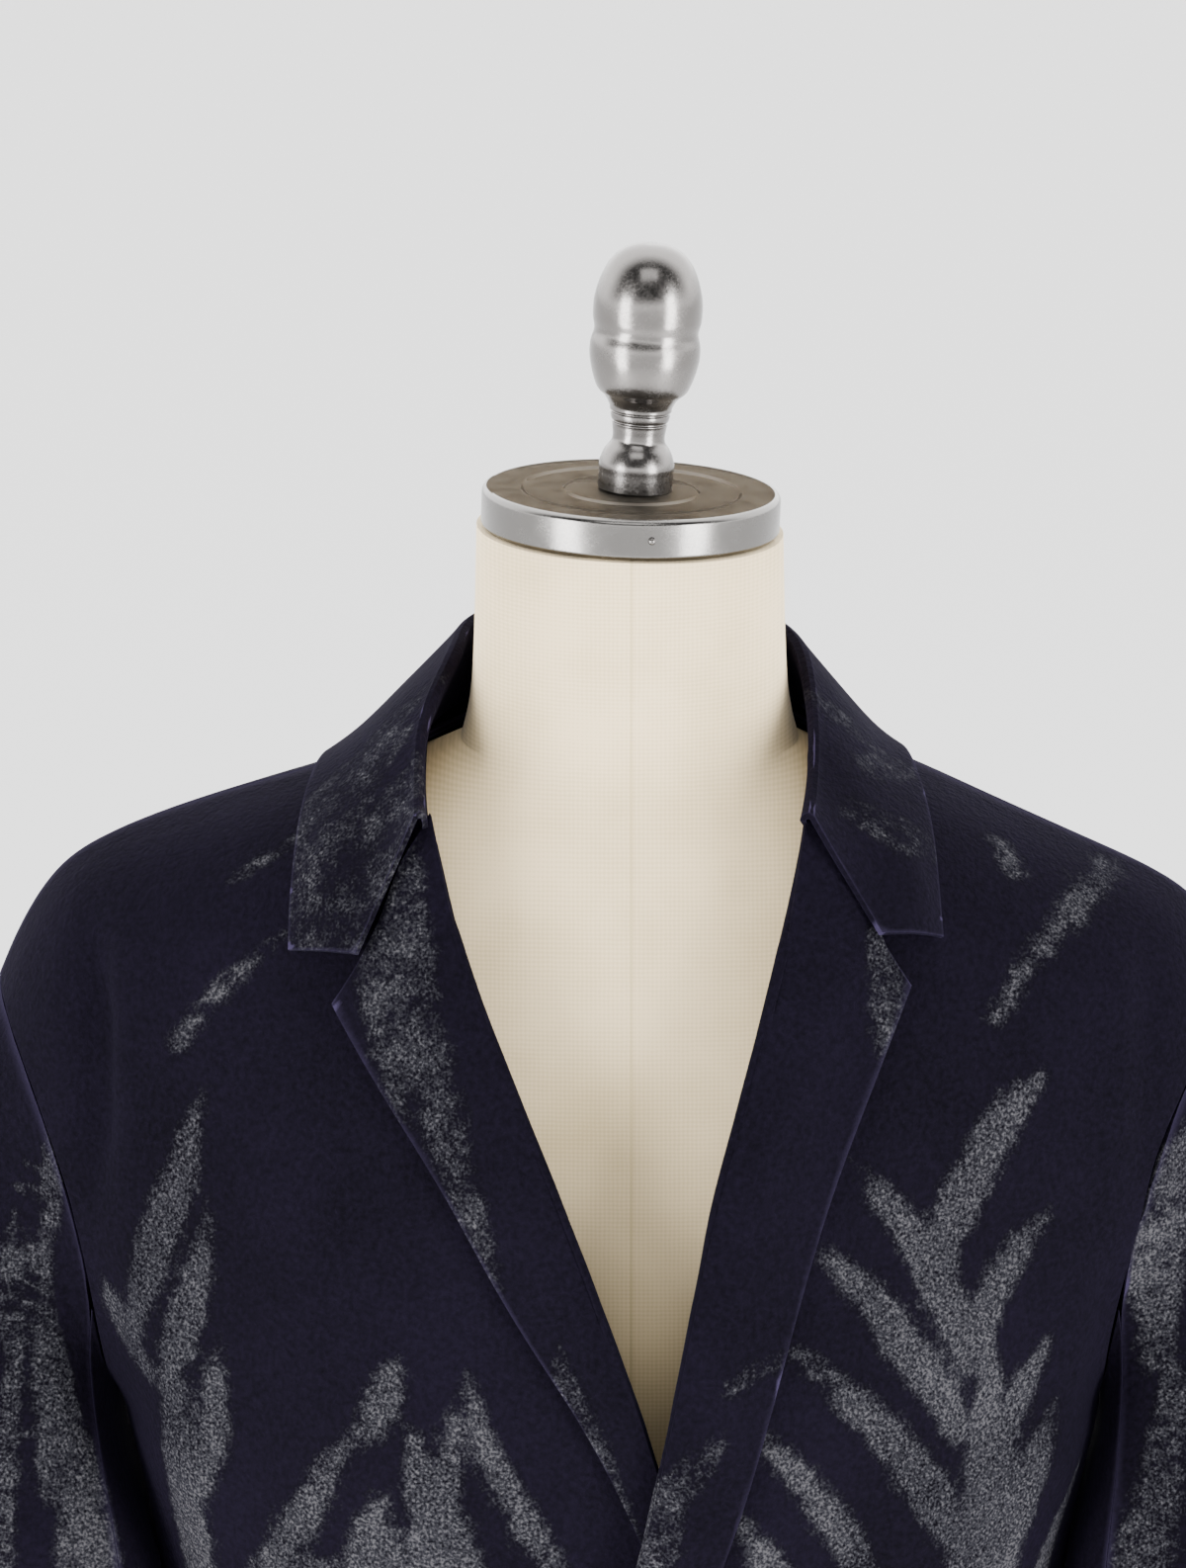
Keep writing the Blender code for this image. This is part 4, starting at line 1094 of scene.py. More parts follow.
@dataclass
class LapelRoll:
    """The rounded fold where a front turns back into its lapel.

    Attributes:
        side: side of the wearer.
        low: height of its foot, mm.
        high: height of its top, mm.
        step: way between its rings, mm.
        turns: points on a ring.
        inset: how far its middle lies inside the fold, mm.
        flat: its depth as a share of its height.
        ends: rings over which it swells from an end, and its share at the end.
    """

    side: Side
    low: float
    high: float = ROLL_TOP
    step: float = 6.0
    turns: int = 12
    inset: float = 1.2
    flat: float = 0.8
    ends: tuple[int, float] = (4, 0.35)

    def build(self, wool: bpy.types.Material, pattern: list[Blade]) -> bpy.types.Object:
        """Builds the fold as a bead that covers the edges of the front and of its lapel.

        Args:
            wool: material of the cloth.
            pattern: leaves that cross the fold.

        Returns:
            The piece.
        """
        word = self.side.word
        lines = [self._edge(f"{half}_{word}") for half in ("front", "lapel")]
        front, lapel = (line + GORGES[self.side].moves(line) for line in lines)
        count = len(front)
        points = []
        for k in range(count):
            before, after = max(0, k - 1), min(count - 1, k + 1)
            along = (front[after] + lapel[after]) - (front[before] + lapel[before])
            along /= np.linalg.norm(along)
            up = lapel[k] - front[k]
            up -= along * np.dot(up, along)
            radius = np.linalg.norm(up) / 2 + CLOTH_THICK / 2
            up /= np.linalg.norm(up)
            into = np.cross(along, up)
            into *= np.sign(into[0] * -self.side.value)
            middle = (front[k] + lapel[k]) / 2 - into * self.inset
            fade = min(1.0, self.ends[1] + (1 - self.ends[1]) * min(k, count - 1 - k) / self.ends[0])
            for turn in np.linspace(-90, 90, self.turns):
                a = math.radians(turn)
                swell = up * math.sin(a) * radius + into * (math.cos(a) * radius * self.flat)
                points.append(middle + swell * fade)
        faces = []
        n = self.turns
        for k in range(count - 1):
            for t in range(n):
                u = (t + 1) % n
                faces.append((k * n + t, k * n + u, (k + 1) * n + u, (k + 1) * n + t))
        faces.append(tuple(range(n)))
        faces.append(tuple((count - 1) * n + t for t in range(n - 1, -1, -1)))
        name = f"lapel_roll_{word}"
        thing = new_object(name, mesh_of(name, points, faces))
        lay_pattern(thing.data, Part.LAPEL, self.side, pattern)
        return finish_piece(thing, wool, "brushed_wool")

    def _edge(self, node: str) -> np.ndarray:
        """Finds the middle of a solid's inner rim at each height.

        Args:
            node: name of the solid.

        Returns:
            Points in mm, from low to high.
        """
        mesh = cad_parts[node].data
        points = coordinates(mesh)
        ends = np.empty(len(mesh.edges) * 2, dtype=int)
        mesh.edges.foreach_get("vertices", ends)
        one, two = points[ends[0::2]], points[ends[1::2]]
        found = []
        for z in np.arange(self.low, self.high + 0.1, self.step):
            crossing = (one[:, 2] - z) * (two[:, 2] - z) < 0
            a, b = one[crossing], two[crossing]
            share = (z - a[:, 2]) / (b[:, 2] - a[:, 2])
            cut = a + (b - a) * share[:, None]
            reach = cut[:, 0] * -self.side.value
            first = cut[int(np.argmax(reach))]
            near = cut[np.linalg.norm(cut - first, axis=1) < 3.4]
            found.append((near.min(axis=0) + near.max(axis=0)) / 2)
        line = np.array(found)
        for _ in range(6):
            line[1:-1] = (line[:-2] + line[2:] + 2 * line[1:-1]) / 4
        return line


def lathe(name: str, profile: Sequence[tuple[float, float]], segments: int, turn: Move) -> bpy.types.Object:
    """Spins a profile into a closed turned piece with its poles filled.

    Args:
        name: name of the piece.
        profile: heights and radii in mm, from the bottom up.
        segments: number of flats round it.
        turn: moves its points from the upright axis to their place, mm.

    Returns:
        The piece.
    """
    angles = np.linspace(0, 2 * math.pi, segments, endpoint=False)
    rings = [
        np.stack((radius * np.cos(angles), radius * np.sin(angles), np.full(segments, height)), 1)
        for height, radius in profile
    ]
    points = turn(np.concatenate(rings))
    faces = []
    last = (len(profile) - 1) * segments
    for low in range(0, last, segments):
        for s in range(segments):
            n = (s + 1) % segments
            faces.append((low + s, low + n, low + segments + n, low + segments + s))
    faces.append(tuple(range(segments)))
    faces.append(tuple(range(last, last + segments)))
    thing = new_object(name, mesh_of(name, points, faces))
    thing.data.set_sharp_from_angle(angle=math.radians(50))
    return thing


def rounded(corners: Sequence[Place], steps: int = 4) -> list[tuple[float, float]]:
    """Rounds the corners of a profile.

    Args:
        corners: height, radius and rounding of each corner, mm.
        steps: points on each rounding.

    Returns:
        The profile's heights and radii.
    """
    out: list[tuple[float, float]] = []
    for k, (height, radius, soft) in enumerate(corners):
        here = np.array((height, radius))
        if soft <= 0 or k in (0, len(corners) - 1):
            out.append((height, radius))
            continue
        before = np.array(corners[k - 1][:2]) - here
        after = np.array(corners[k + 1][:2]) - here
        reach = min(soft, np.linalg.norm(before) / 2, np.linalg.norm(after) / 2)
        start = here + before / np.linalg.norm(before) * reach
        end = here + after / np.linalg.norm(after) * reach
        for share in np.linspace(0, 1, steps):
            bend = start * (1 - share) ** 2 + here * 2 * share * (1 - share) + end * share**2
            out.append((float(bend[0]), float(bend[1])))
    return out


def smooth_profile(rows: Sequence[tuple[float, float]], fine: int = 5) -> list[tuple[float, float]]:
    """Runs a smooth curve through a turned piece's rows.

    Args:
        rows: heights and radii, mm.
        fine: points from each row to the next.

    Returns:
        Finely spaced heights and radii.
    """
    rows_in = np.array(rows)
    out = []
    for k in range(len(rows_in) - 1):
        a = rows_in[max(0, k - 1)]
        b, c = rows_in[k], rows_in[k + 1]
        d = rows_in[min(len(rows_in) - 1, k + 2)]
        for s in np.linspace(0, 1, fine, endpoint=False):
            curve = b + 0.5 * s * (c - a + s * (2 * a - 5 * b + 4 * c - d + s * (3 * (b - c) + d - a)))
            out.append((float(curve[0]), max(0.2, float(curve[1]))))
    out.append((float(rows_in[-1][0]), float(rows_in[-1][1])))
    return out


def leaning(place: Place, lean: float = 0.0) -> Move:
    """Makes the move that tips an upright piece to the side and takes it to its place.

    Args:
        place: its place, mm.
        lean: how far it leans to the right, radians.

    Returns:
        The move of its points.
    """
    cos, sin = math.cos(lean), math.sin(lean)
    swing = np.array(((cos, 0, -sin), (0, 1, 0), (sin, 0, cos)))
    return lambda points: points @ swing + np.array(place)


def facing_front(place: Place) -> Move:
    """Returns the move that turns an upright axis to the front and takes points to a place, mm."""
    turn = np.array(((1, 0, 0), (0, 0, 1), (0, -1, 0)), float)
    return lambda points: points @ turn + np.array(place)


@dataclass
class Buttons:
    """Horn buttons with four holes, sewn through with a cross of thread, and their worked holes.

    Attributes:
        count: number of buttons.
        hole_radius: radius of a hole, mm.
        hole_reach: way from the middle to a hole, mm.
        thread: radius of the thread, and half the way between two threads, mm.
        lift: height of the thread in the holes and how far it arches above that, mm.
        sunk: how far the thread's ends go down into the holes, mm.
        stitches: number of a buttonhole's stitches.
        stitch: where they begin, their spacing, half width, lift and radius, mm.
        face: height, radius and rounding of each corner of the button, mm.
    """

    count: int = 3
    hole_radius: float = 1.3
    hole_reach: float = 2.6
    thread: tuple[float, float] = (0.42, 0.45)
    lift: tuple[float, float] = (3.25, 0.75)
    sunk: float = 1.6
    stitches: int = 22
    stitch: tuple[float, float, float, float, float] = (15.2, 0.32, 1.9, 0.25, 0.28)
    face: tuple[Place, ...] = (
        (0.0, 9.6, 0.0),
        (0.2, 11.6, 1.2),
        (1.4, 13.7, 1.2),
        (3.3, 14.0, 1.0),
        (4.35, 12.8, 0.9),
        (4.3, 11.0, 0.8),
        (3.3, 9.4, 1.0),
        (3.1, 0.3, 0.0),
    )

    def build(self, horn: bpy.types.Material, thread: bpy.types.Material) -> list[bpy.types.Object]:
        """Builds the buttons with their thread and buttonholes.

        Args:
            horn: material of the buttons.
            thread: material of the thread.

        Returns:
            The pieces that lie on the left front.
        """
        pieces = []
        for number in range(1, self.count + 1):
            low, high = (np.array(c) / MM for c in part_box(f"button_{number}"))
            middle = (low + high) / 2
            place = (float(middle[0]), float(high[1]), float(middle[2]))
            finish_piece(self._disc(number, place), horn, "dark_horn", f"button_{number}")
            pieces.append(finish_piece(self._cross(number, place), thread, "dark_horn"))
            pieces.append(finish_piece(self._buttonhole(number, place), thread, "dark_horn"))
        return pieces

    def _disc(self, number: int, place: Place) -> bpy.types.Object:
        """Turns one button and drills its four holes.

        Args:
            number: number of the button, from the top.
            place: middle of its back, mm.

        Returns:
            The button.
        """
        name = f"button_{number}_disc"
        thing = lathe(name, rounded(self.face), 48, facing_front(place))
        cutter = bpy.data.meshes.new("drill")
        body = bmesh.new()
        for k in range(4):
            a = math.radians(45 + 90 * k)
            shift = (math.cos(a) * self.hole_reach, 0.0, math.sin(a) * self.hole_reach)
            size = {"radius1": self.hole_radius, "radius2": self.hole_radius, "depth": 20}
            made = bmesh.ops.create_cone(body, cap_ends=True, segments=14, **size)
            for vert in made["verts"]:
                x, y, z = vert.co
                vert.co = [(c + s + p) * MM for c, s, p in zip((x, z, y), shift, place)]
        bmesh.ops.recalc_face_normals(body, faces=body.faces)
        body.to_mesh(cutter)
        body.free()
        drill = new_object("drill", cutter)
        cut = thing.modifiers.new("holes", "BOOLEAN")
        cut.operation = "DIFFERENCE"
        cut.solver = "EXACT"
        cut.object = drill
        apply_modifiers(thing)
        bpy.data.objects.remove(drill)
        thing.data.shade_smooth()
        thing.data.set_sharp_from_angle(angle=math.radians(35))
        return thing

    def _cross(self, number: int, place: Place) -> bpy.types.Object:
        """Lays the cross of thread from hole to hole.

        Args:
            number: number of the button, from the top.
            place: middle of the button's back, mm.

        Returns:
            The thread.
        """
        x, y, z = place
        lines = []
        for way in (45, 135):
            cos, sin = math.cos(math.radians(way)), math.sin(math.radians(way))
            for shift in (-self.thread[1], self.thread[1]):
                line = []
                for along in np.linspace(-1, 1, 9):
                    reach = along * self.hole_reach
                    height = self.lift[0] + self.lift[1] * (1 - along**4)
                    height -= self.sunk * max(0.0, abs(along) - 0.85) / 0.15
                    line.append((x + cos * reach - sin * shift, y - height, z + sin * reach + cos * shift))
                lines.append(line)
        return thread_piece(f"button_{number}_thread", lines, self.thread[0])

    def _buttonhole(self, number: int, place: Place) -> bpy.types.Object:
        """Works the end of a buttonhole that shows beside its button, stitch by stitch.

        Args:
            number: number of the button, from the top.
            place: middle of the button's back, mm.

        Returns:
            The stitches.
        """
        start, spacing, wide, lift, radius = self.stitch
        lines = []
        for k in range(self.stitches):
            x = place[0] - start - k * spacing
            stitch = np.linspace(-1, 1, 5)
            lines.append([(x, place[1] - lift + 0.35 * abs(s), place[2] + s * wide) for s in stitch])
        return thread_piece(f"buttonhole_{number}", lines, radius)


def thread_piece(
    name: str, lines: Sequence[Sequence[Sequence[float]]], radius: float, flats: int = 6
) -> bpy.types.Object:
    """Makes short threads along lines as one piece.

    Args:
        name: name of the piece.
        lines: points of each thread, mm.
        radius: radius of the thread, mm.
        flats: sides of the thread.

    Returns:
        The piece.
    """
    points: list[np.ndarray] = []
    faces: list[tuple[int, ...]] = []
    for line in lines:
        path = np.array(line, float)
        start = len(points)
        for k, here in enumerate(path):
            along = path[min(k + 1, len(path) - 1)] - path[max(k - 1, 0)]
            along /= np.linalg.norm(along)
            side = np.cross(along, (0.0, 1.0, 0.0))
            side /= np.linalg.norm(side)
            over = np.cross(side, along)
            for f in range(flats):
                a = 2 * math.pi * f / flats
                points.append(here + radius * (side * math.cos(a) + over * math.sin(a)))
        for k in range(len(path) - 1):
            for f in range(flats):
                g = (f + 1) % flats
                low = start + k * flats
                faces.append((low + f, low + g, low + flats + g, low + flats + f))
        faces.append(tuple(start + f for f in range(flats)))
        faces.append(tuple(start + (len(path) - 1) * flats + f for f in range(flats)))
    return new_object(name, mesh_of(name, points, faces))


# ---- dress form and stand ----
@dataclass
class DressForm:
    """Padded limbless form with a cast cap and a turned knob on its neck.

    Attributes:
        cap_place: middle of the cap's underside, mm.
        cap_tilt: lean of the cap, radians.
        knob_place: middle of the knob's foot, mm.
        knob_lean: lean of the knob, radians.
        pin_place: middle of the pin's head, mm.
        face_radius: radius of the cap's dull turned face, m.
        face_up: least rise of that face's own directions.
        cap: height, radius and rounding of each corner of the cap, mm.
        knob: heights and radii of the knob, mm.
        pin: height, radius and rounding of each corner of the pin's head, mm.
    """

    cap_place: Place = (0.0, -5.0, 1568.0)
    cap_tilt: float = math.radians(2.0)
    knob_place: Place = (2.0, -5.0, 1585.55)
    knob_lean: float = math.radians(4.0)
    pin_place: Place = (8.6, -66.95, 1576.5)
    face_radius: float = 0.0595
    face_up: float = 0.2
    cap: tuple[Place, ...] = (
        (0.0, 0.3, 0.0),
        (0.0, 60.5, 0.8),
        (1.6, 62.25, 1.0),
        (15.4, 62.25, 1.0),
        (17.0, 60.8, 1.0),
        (17.0, 46.0, 0.6),
        (15.9, 45.0, 0.6),
        (15.9, 28.4, 0.6),
        (16.9, 27.4, 0.6),
        (16.9, 0.3, 0.0),
    )
    knob: tuple[tuple[float, float], ...] = (
        (0.0, 15.6),
        (3.0, 15.6),
        (7.0, 15.6),
        (11.0, 15.6),
        (16.0, 13.8),
        (20.5, 11.0),
        (26.0, 11.3),
        (27.6, 11.6),
        (28.0, 11.0),
        (28.6, 11.0),
        (29.0, 11.9),
        (31.6, 12.4),
        (32.0, 11.7),
        (32.6, 11.7),
        (33.0, 12.8),
        (35.0, 13.2),
        (38.5, 15.2),
        (42.0, 18.8),
        (48.0, 21.2),
        (55.0, 22.8),
        (61.0, 22.8),
        (66.5, 21.6),
        (72.0, 22.6),
        (80.0, 22.4),
        (88.0, 20.3),
        (95.0, 17.0),
        (100.0, 12.0),
        (102.5, 6.0),
        (103.0, 0.4),
    )
    pin: tuple[Place, ...] = ((0.0, 1.6, 0.0), (0.8, 1.5, 0.4), (1.4, 0.8, 0.4), (1.5, 0.1, 0.0))

    def build(self) -> None:
        """Builds the form, its cap, its pin and its knob."""
        torso = fine_copy("form_torso", "muslin_cover", 2)
        apply_modifiers(torso)
        soften_edges(torso, 0.0012)
        finish_piece(torso, Muslin().build(), "cream_muslin", "form_torso")
        bright = CastAluminium().build()
        self._build_cap()
        knob_at = leaning(self.knob_place, self.knob_lean)
        knob = lathe("cap_knob_turned", smooth_profile(self.knob), 96, knob_at)
        finish_piece(knob, bright, "polished_aluminium", "cap_knob")
        pin = lathe("cap_pin_head", rounded(self.pin), 24, facing_front(self.pin_place))
        finish_piece(pin, bright, "polished_aluminium", "cap_pin")

    def _build_cap(self) -> None:
        """Builds the cap, with a brushed rim and a duller turned face."""
        rim = CastAluminium("brushed_cast_aluminium", "#6e6c6a", 0.8, (0.16, 0.32), 0.10)
        face = CastAluminium("dull_turned_aluminium", "#625d56", 2.0, (0.34, 0.50), 0.2, "#5d5a55")
        cap = lathe("neck_cap_turned", rounded(self.cap), 128, leaning(self.cap_place, self.cap_tilt))
        finish_piece(cap, rim.build(), "polished_aluminium", "neck_cap")
        cap.data.materials.append(face.build())
        x, y, _ = (c * MM for c in self.cap_place)
        for polygon in cap.data.polygons:
            inside = math.hypot(polygon.center.x - x, polygon.center.y - y) < self.face_radius
            polygon.material_index = int(inside and polygon.normal.z > self.face_up)


@dataclass
class Stand:
    """Flange, steel pole and round cast base that hold the form up.

    Attributes:
        flange_foot: height of the flange's underside, mm.
        pole: low end, high end and radius of the pole, mm.
        flange: height, radius and rounding of each corner of the flange, mm.
        base: the same of the base.
    """

    flange_foot: float = 764.0
    pole: Place = (62.3, 763.7, 16.0)
    flange: tuple[Place, ...] = (
        (0.0, 0.3, 0.0),
        (0.0, 22.0, 1.0),
        (18.0, 24.0, 3.0),
        (20.0, 52.0, 1.5),
        (25.7, 52.0, 1.2),
        (25.7, 0.3, 0.0),
    )
    base: tuple[Place, ...] = (
        (0.0, 0.3, 0.0),
        (0.0, 187.0, 1.0),
        (2.0, 190.0, 2.0),
        (12.0, 190.0, 2.5),
        (15.0, 187.0, 2.5),
        (19.0, 120.0, 12.0),
        (25.0, 60.0, 10.0),
        (38.0, 36.0, 8.0),
        (62.0, 30.0, 2.5),
        (62.0, 0.3, 0.0),
    )

    def build(self) -> None:
        """Builds the flange, the pole and the base."""
        steel = SatinSteel().build()
        low, high, radius = self.pole
        tube = ((low, 0.3, 0.0), (low, radius, 0.6), (high, radius, 0.6), (high, 0.3, 0.0))
        upright = leaning((0, 0, 0))
        flange = lathe("pole_flange_turned", rounded(self.flange), 96, leaning((0, 0, self.flange_foot)))
        finish_piece(flange, steel, "satin_steel", "pole_flange")
        pole = lathe("stand_pole_tube", rounded(tube), 64, upright)
        finish_piece(pole, steel, "satin_steel", "stand_pole")
        base = lathe("stand_base_cast", rounded(self.base), 128, upright)
        finish_piece(base, HammeredPaint().build(), "grey_painted_iron", "stand_base")


# ---- pattern ----
def fronds(*rows: tuple[float, float, float, float, int, float, int]) -> list[Blade]:
    """Draws fronds.

    Args:
        rows: across, up, heading, length, pairs, width and seed of each frond.

    Returns:
        Their blades.
    """
    out: list[Blade] = []
    for across, up, heading, length, pairs, width, seed in rows:
        out.extend(Frond((across, up), heading, length, pairs, width, seed).blades())
    return out


LEAVES: dict[str, list[Blade]] = {
    "front_right": [
        Blade((-208, 1240), (-182, 1356), 7.8, -0.04),
        Blade((-188, 1222), (-174, 1306), 7.3, -0.04),
        Blade((-186, 1010), (-180, 1258), 14.0, 0.03),
        Blade((-176, 1180), (-166, 1249), 6.4, -0.05),
        Blade((-200, 1228), (-226, 1260), 8.0, 0.05),
        Blade((-178, 1160), (-174, 1226), 5.0, 0.05),
        Blade((-160, 1136), (-105, 1227), 6.5, -0.04),
        Blade((-100, 1222), (-90, 1252), 7.0, 0.0),
        Blade((-52, 1140), (-83, 1222), 10.5, 0.05),
        Blade((-108, 1140), (-94, 1194), 8.6, 0.04),
        Blade((-16, 1150), (-64, 1250), 5.6, 0.05),
        Blade((-197, 1375), (-172, 1433), 2.8, 0.05),
        Blade((-213, 1464), (-207, 1490), 2.6, 0.0),
        *fronds(
            (-60, 1010, -12, 190, 4, 8.5, 21),
            (-190, 900, 16, 210, 4, 9.0, 22),
            (-90, 760, 22, 200, 4, 9.0, 23),
            (-215, 660, -8, 190, 3, 8.5, 24),
            (-30, 640, -24, 170, 3, 8.0, 25),
            (-150, 500, 12, 200, 4, 9.0, 26),
            (-20, 470, 10, 150, 3, 8.0, 27),
            (-262, 780, 4, 160, 3, 8.0, 28),
        ),
    ],
    "front_left": [
        Blade((132, 1284), (187, 1363), 8.9, 0.05),
        Blade((142, 1244), (185, 1302), 8.1, 0.05),
        Blade((160, 1200), (183, 1245), 6.8, 0.05),
        Blade((180, 1020), (154, 1256), 20.0, 0.03),
        Blade((143, 1248), (100, 1332), 8.9, -0.06),
        Blade((138, 1216), (78, 1303), 8.9, -0.05),
        Blade((146, 1152), (64, 1264), 9.0, -0.05),
        Blade((104, 1146), (52, 1226), 6.9, -0.04),
        Blade((154, 1160), (186, 1190), 9.5, 0.0),
        Blade((168, 1140), (188, 1216), 9.0, 0.03),
        Blade((68, 1146), (40, 1194), 7.0, -0.04),
        Blade((190, 1100), (226, 1180), 8.0, 0.05),
        Blade((174, 1386), (283, 1490), 2.7, 0.04),
        Blade((222, 1466), (246, 1490), 2.3, 0.0),
        *fronds(
            (60, 960, 18, 190, 4, 9.0, 31),
            (200, 850, -14, 220, 4, 9.5, 32),
            (70, 720, -8, 190, 4, 8.5, 33),
            (225, 640, 10, 190, 3, 9.0, 34),
            (110, 520, 24, 190, 4, 9.0, 35),
            (20, 560, -18, 150, 3, 8.0, 36),
            (250, 500, -12, 160, 3, 8.0, 37),
        ),
    ],
    "back": fronds(
        (-330, 1180, 10, 210, 4, 9.0, 41),
        (-430, 1250, -16, 200, 4, 9.0, 42),
        (-530, 1130, 14, 220, 4, 9.5, 43),
        (-380, 960, -20, 210, 4, 9.0, 44),
        (-480, 880, 8, 220, 4, 9.5, 45),
        (-320, 760, 18, 200, 4, 9.0, 46),
        (-420, 660, -10, 210, 4, 9.0, 47),
        (-530, 620, -24, 180, 3, 8.5, 48),
        (-350, 500, 6, 190, 4, 9.0, 49),
        (-470, 480, 22, 170, 3, 8.5, 50),
        (330, 1150, -12, 220, 4, 9.5, 51),
        (440, 1230, 14, 200, 4, 9.0, 52),
        (520, 1040, -18, 220, 4, 9.5, 53),
        (390, 940, 20, 210, 4, 9.0, 54),
        (310, 860, -6, 190, 3, 8.5, 55),
        (470, 780, 8, 220, 4, 9.0, 56),
        (360, 640, -16, 200, 4, 9.0, 57),
        (530, 600, 20, 200, 4, 9.0, 58),
        (430, 500, -8, 180, 3, 8.5, 59),
        (310, 500, 14, 170, 3, 8.5, 60),
    ),
    "sleeve_right": [
        Blade((14, 1176), (36, 1346), 13.5, 0.05),
        Blade((8, 1070), (31, 1238), 13.5, -0.04),
        Blade((44, 1010), (46, 1136), 9.0, 0.05),
        Blade((-16, 1110), (-2, 1310), 10.5, 0.04),
        Blade((-52, 1190), (-34, 1318), 8.5, -0.05),
        *fronds(
            (-110, 1130, 10, 170, 3, 8.0, 71),
            (-20, 930, -14, 180, 4, 8.0, 72),
            (-120, 880, 10, 190, 4, 8.5, 73),
            (170, 960, -8, 170, 3, 8.0, 76),
        ),
    ],
    "sleeve_left": [
        Blade((-48, 1226), (-42, 1326), 9.6, 0.05),
        Blade((-34, 1120), (-42, 1236), 10.2, -0.04),
        Blade((-20, 1200), (-4, 1300), 9.0, 0.05),
        *fronds(
            (90, 1120, 14, 180, 3, 8.5, 81),
            (10, 920, 12, 170, 4, 8.0, 83),
            (110, 870, -12, 180, 4, 8.5, 84),
            (-160, 930, 6, 170, 3, 8.0, 86),
        ),
    ],
    "lapel_right": [
        Blade((-108, 1440), (-95, 1344), 9.5, 0.03),
        Blade((-96, 1462), (-54, 1286), 9.7, -0.04),
        Blade((3, 1158), (-29, 1262), 10.0, 0.04),
    ],
    "lapel_left": [
        Blade((2, 1178), (38, 1228), 8.2, 0.05),
        Blade((0, 1158), (19, 1185), 5.4, 0.0),
        Blade((41, 1250), (62, 1258), 2.6, 0.05),
        Blade((106, 1378), (101, 1434), 6.4, 0.0),
        Blade((12, 1090), (24, 1150), 7.0, 0.05),
    ],
    "collar": [
        Blade((-94, 1762), (-112, 1866), 12.0, 0.04),
        Blade((-80, 1762), (-90, 1862), 13.0, -0.03),
        Blade((-104, 1756), (-68, 1840), 11.0, 0.03),
        Blade((-108, 1800), (-132, 1888), 8.0, 0.03),
        Blade((88, 1832), (109, 1804), 6.2, 0.05),
        Blade((119, 1882), (138, 1846), 6.2, 0.05),
        Blade((112, 1846), (142, 1836), 4.2, 0.0),
        Blade((-190, 1800), (-215, 1880), 11.0, 0.05),
        Blade((-260, 1790), (-238, 1880), 10.0, -0.05),
        Blade((190, 1800), (214, 1880), 12.5, 0.05),
        Blade((262, 1800), (236, 1870), 12.5, 0.05),
        Blade((286, 1790), (300, 1860), 10.0, 0.0),
    ],
}


# ---- whole coat ----
@dataclass
class Overcoat:
    """Single-breasted overcoat: back, two fronts with their lapels, collar and two-piece sleeves.

    Attributes:
        back: how the back was cut and hangs.
        front_left: the same of the left front.
        front_right: the same of the right front.
        collar: the same of the collar.
        sleeves: flat size and area of the upper and the under sleeve.
        lapels: side, foot of the roll in mm, flat size and area of each lapel with its roll.
    """

    back: Cut = Cut((0.62, 1.02), 0.548, "hung", ("form_torso",))
    front_left: Cut = Cut((0.36, 1.02), 0.293, "hung", ("form_torso",))
    front_right: Cut = Cut((0.37, 1.02), 0.303, "hung", ("form_torso",))
    collar: Cut = Cut((0.42, 0.2), 0.052, "folded", ("back",))
    sleeves: tuple[tuple[str, tuple[float, float], float], ...] = (
        ("upper", (0.27, 0.6), 0.132),
        ("under", (0.14, 0.46), 0.055),
    )
    lapels: tuple[tuple[Side, float, tuple[float, float], float], ...] = (
        (Side.RIGHT, 1146.0, (0.11, 0.34), 0.0145),
        (Side.LEFT, 1041.0, (0.11, 0.44), 0.0205),
    )

    def build(self) -> None:
        """Builds every piece of cloth and the buttons."""
        wool = BrushedWool().build()
        self._build_body(wool)
        self._build_sleeves(wool)
        self._build_lapels(wool)

    def _build_body(self, wool: bpy.types.Material) -> None:
        """Builds the fronts, the back, the collar and the buttons.

        Args:
            wool: material of the cloth.
        """
        left = ClothPiece(
            "front_left", Part.BODY, Side.LEFT, self.front_left, LEAVES["front_left"], trough=3.0
        )
        thing = left.build(wool)
        left.declare(thing, Buttons().build(DarkHorn().build(), ButtonThread().build()))
        right = ClothPiece(
            "front_right", Part.BODY, Side.RIGHT, self.front_right, LEAVES["front_right"], trough=8.5
        )
        back = ClothPiece("back", Part.BODY, Side.LEFT, self.back, LEAVES["back"])
        collar = ClothPiece("collar", Part.COLLAR, Side.LEFT, self.collar, LEAVES["collar"], 3, -1.4)
        for piece in (back, right, collar):
            piece.declare(piece.build(wool))

    def _build_sleeves(self, wool: bpy.types.Material) -> None:
        """Builds the upper and under sleeves.

        Args:
            wool: material of the cloth.
        """
        for side in Side:
            for half, flat, area in self.sleeves:
                cut = Cut(flat, area, "hung", ("back", f"front_{side.word}"))
                leaves = LEAVES[f"sleeve_{side.word}"]
                name = f"sleeve_{half}_{side.word}"
                piece = ClothPiece(name, Part.SLEEVE, side, cut, leaves, density=1.0)
                piece.declare(piece.build(wool))

    def _build_lapels(self, wool: bpy.types.Material) -> None:
        """Builds the lapels with their rolls.

        Args:
            wool: material of the cloth.
        """
        for side, foot, flat, area in self.lapels:
            cut = Cut(flat, area, "folded", (f"front_{side.word}",))
            leaves = LEAVES[f"lapel_{side.word}"]
            piece = ClothPiece(f"lapel_{side.word}", Part.LAPEL, side, cut, leaves, density=0.0)
            thing = piece.build(wool)
            piece.declare(thing, [LapelRoll(side, foot).build(wool, leaves)])


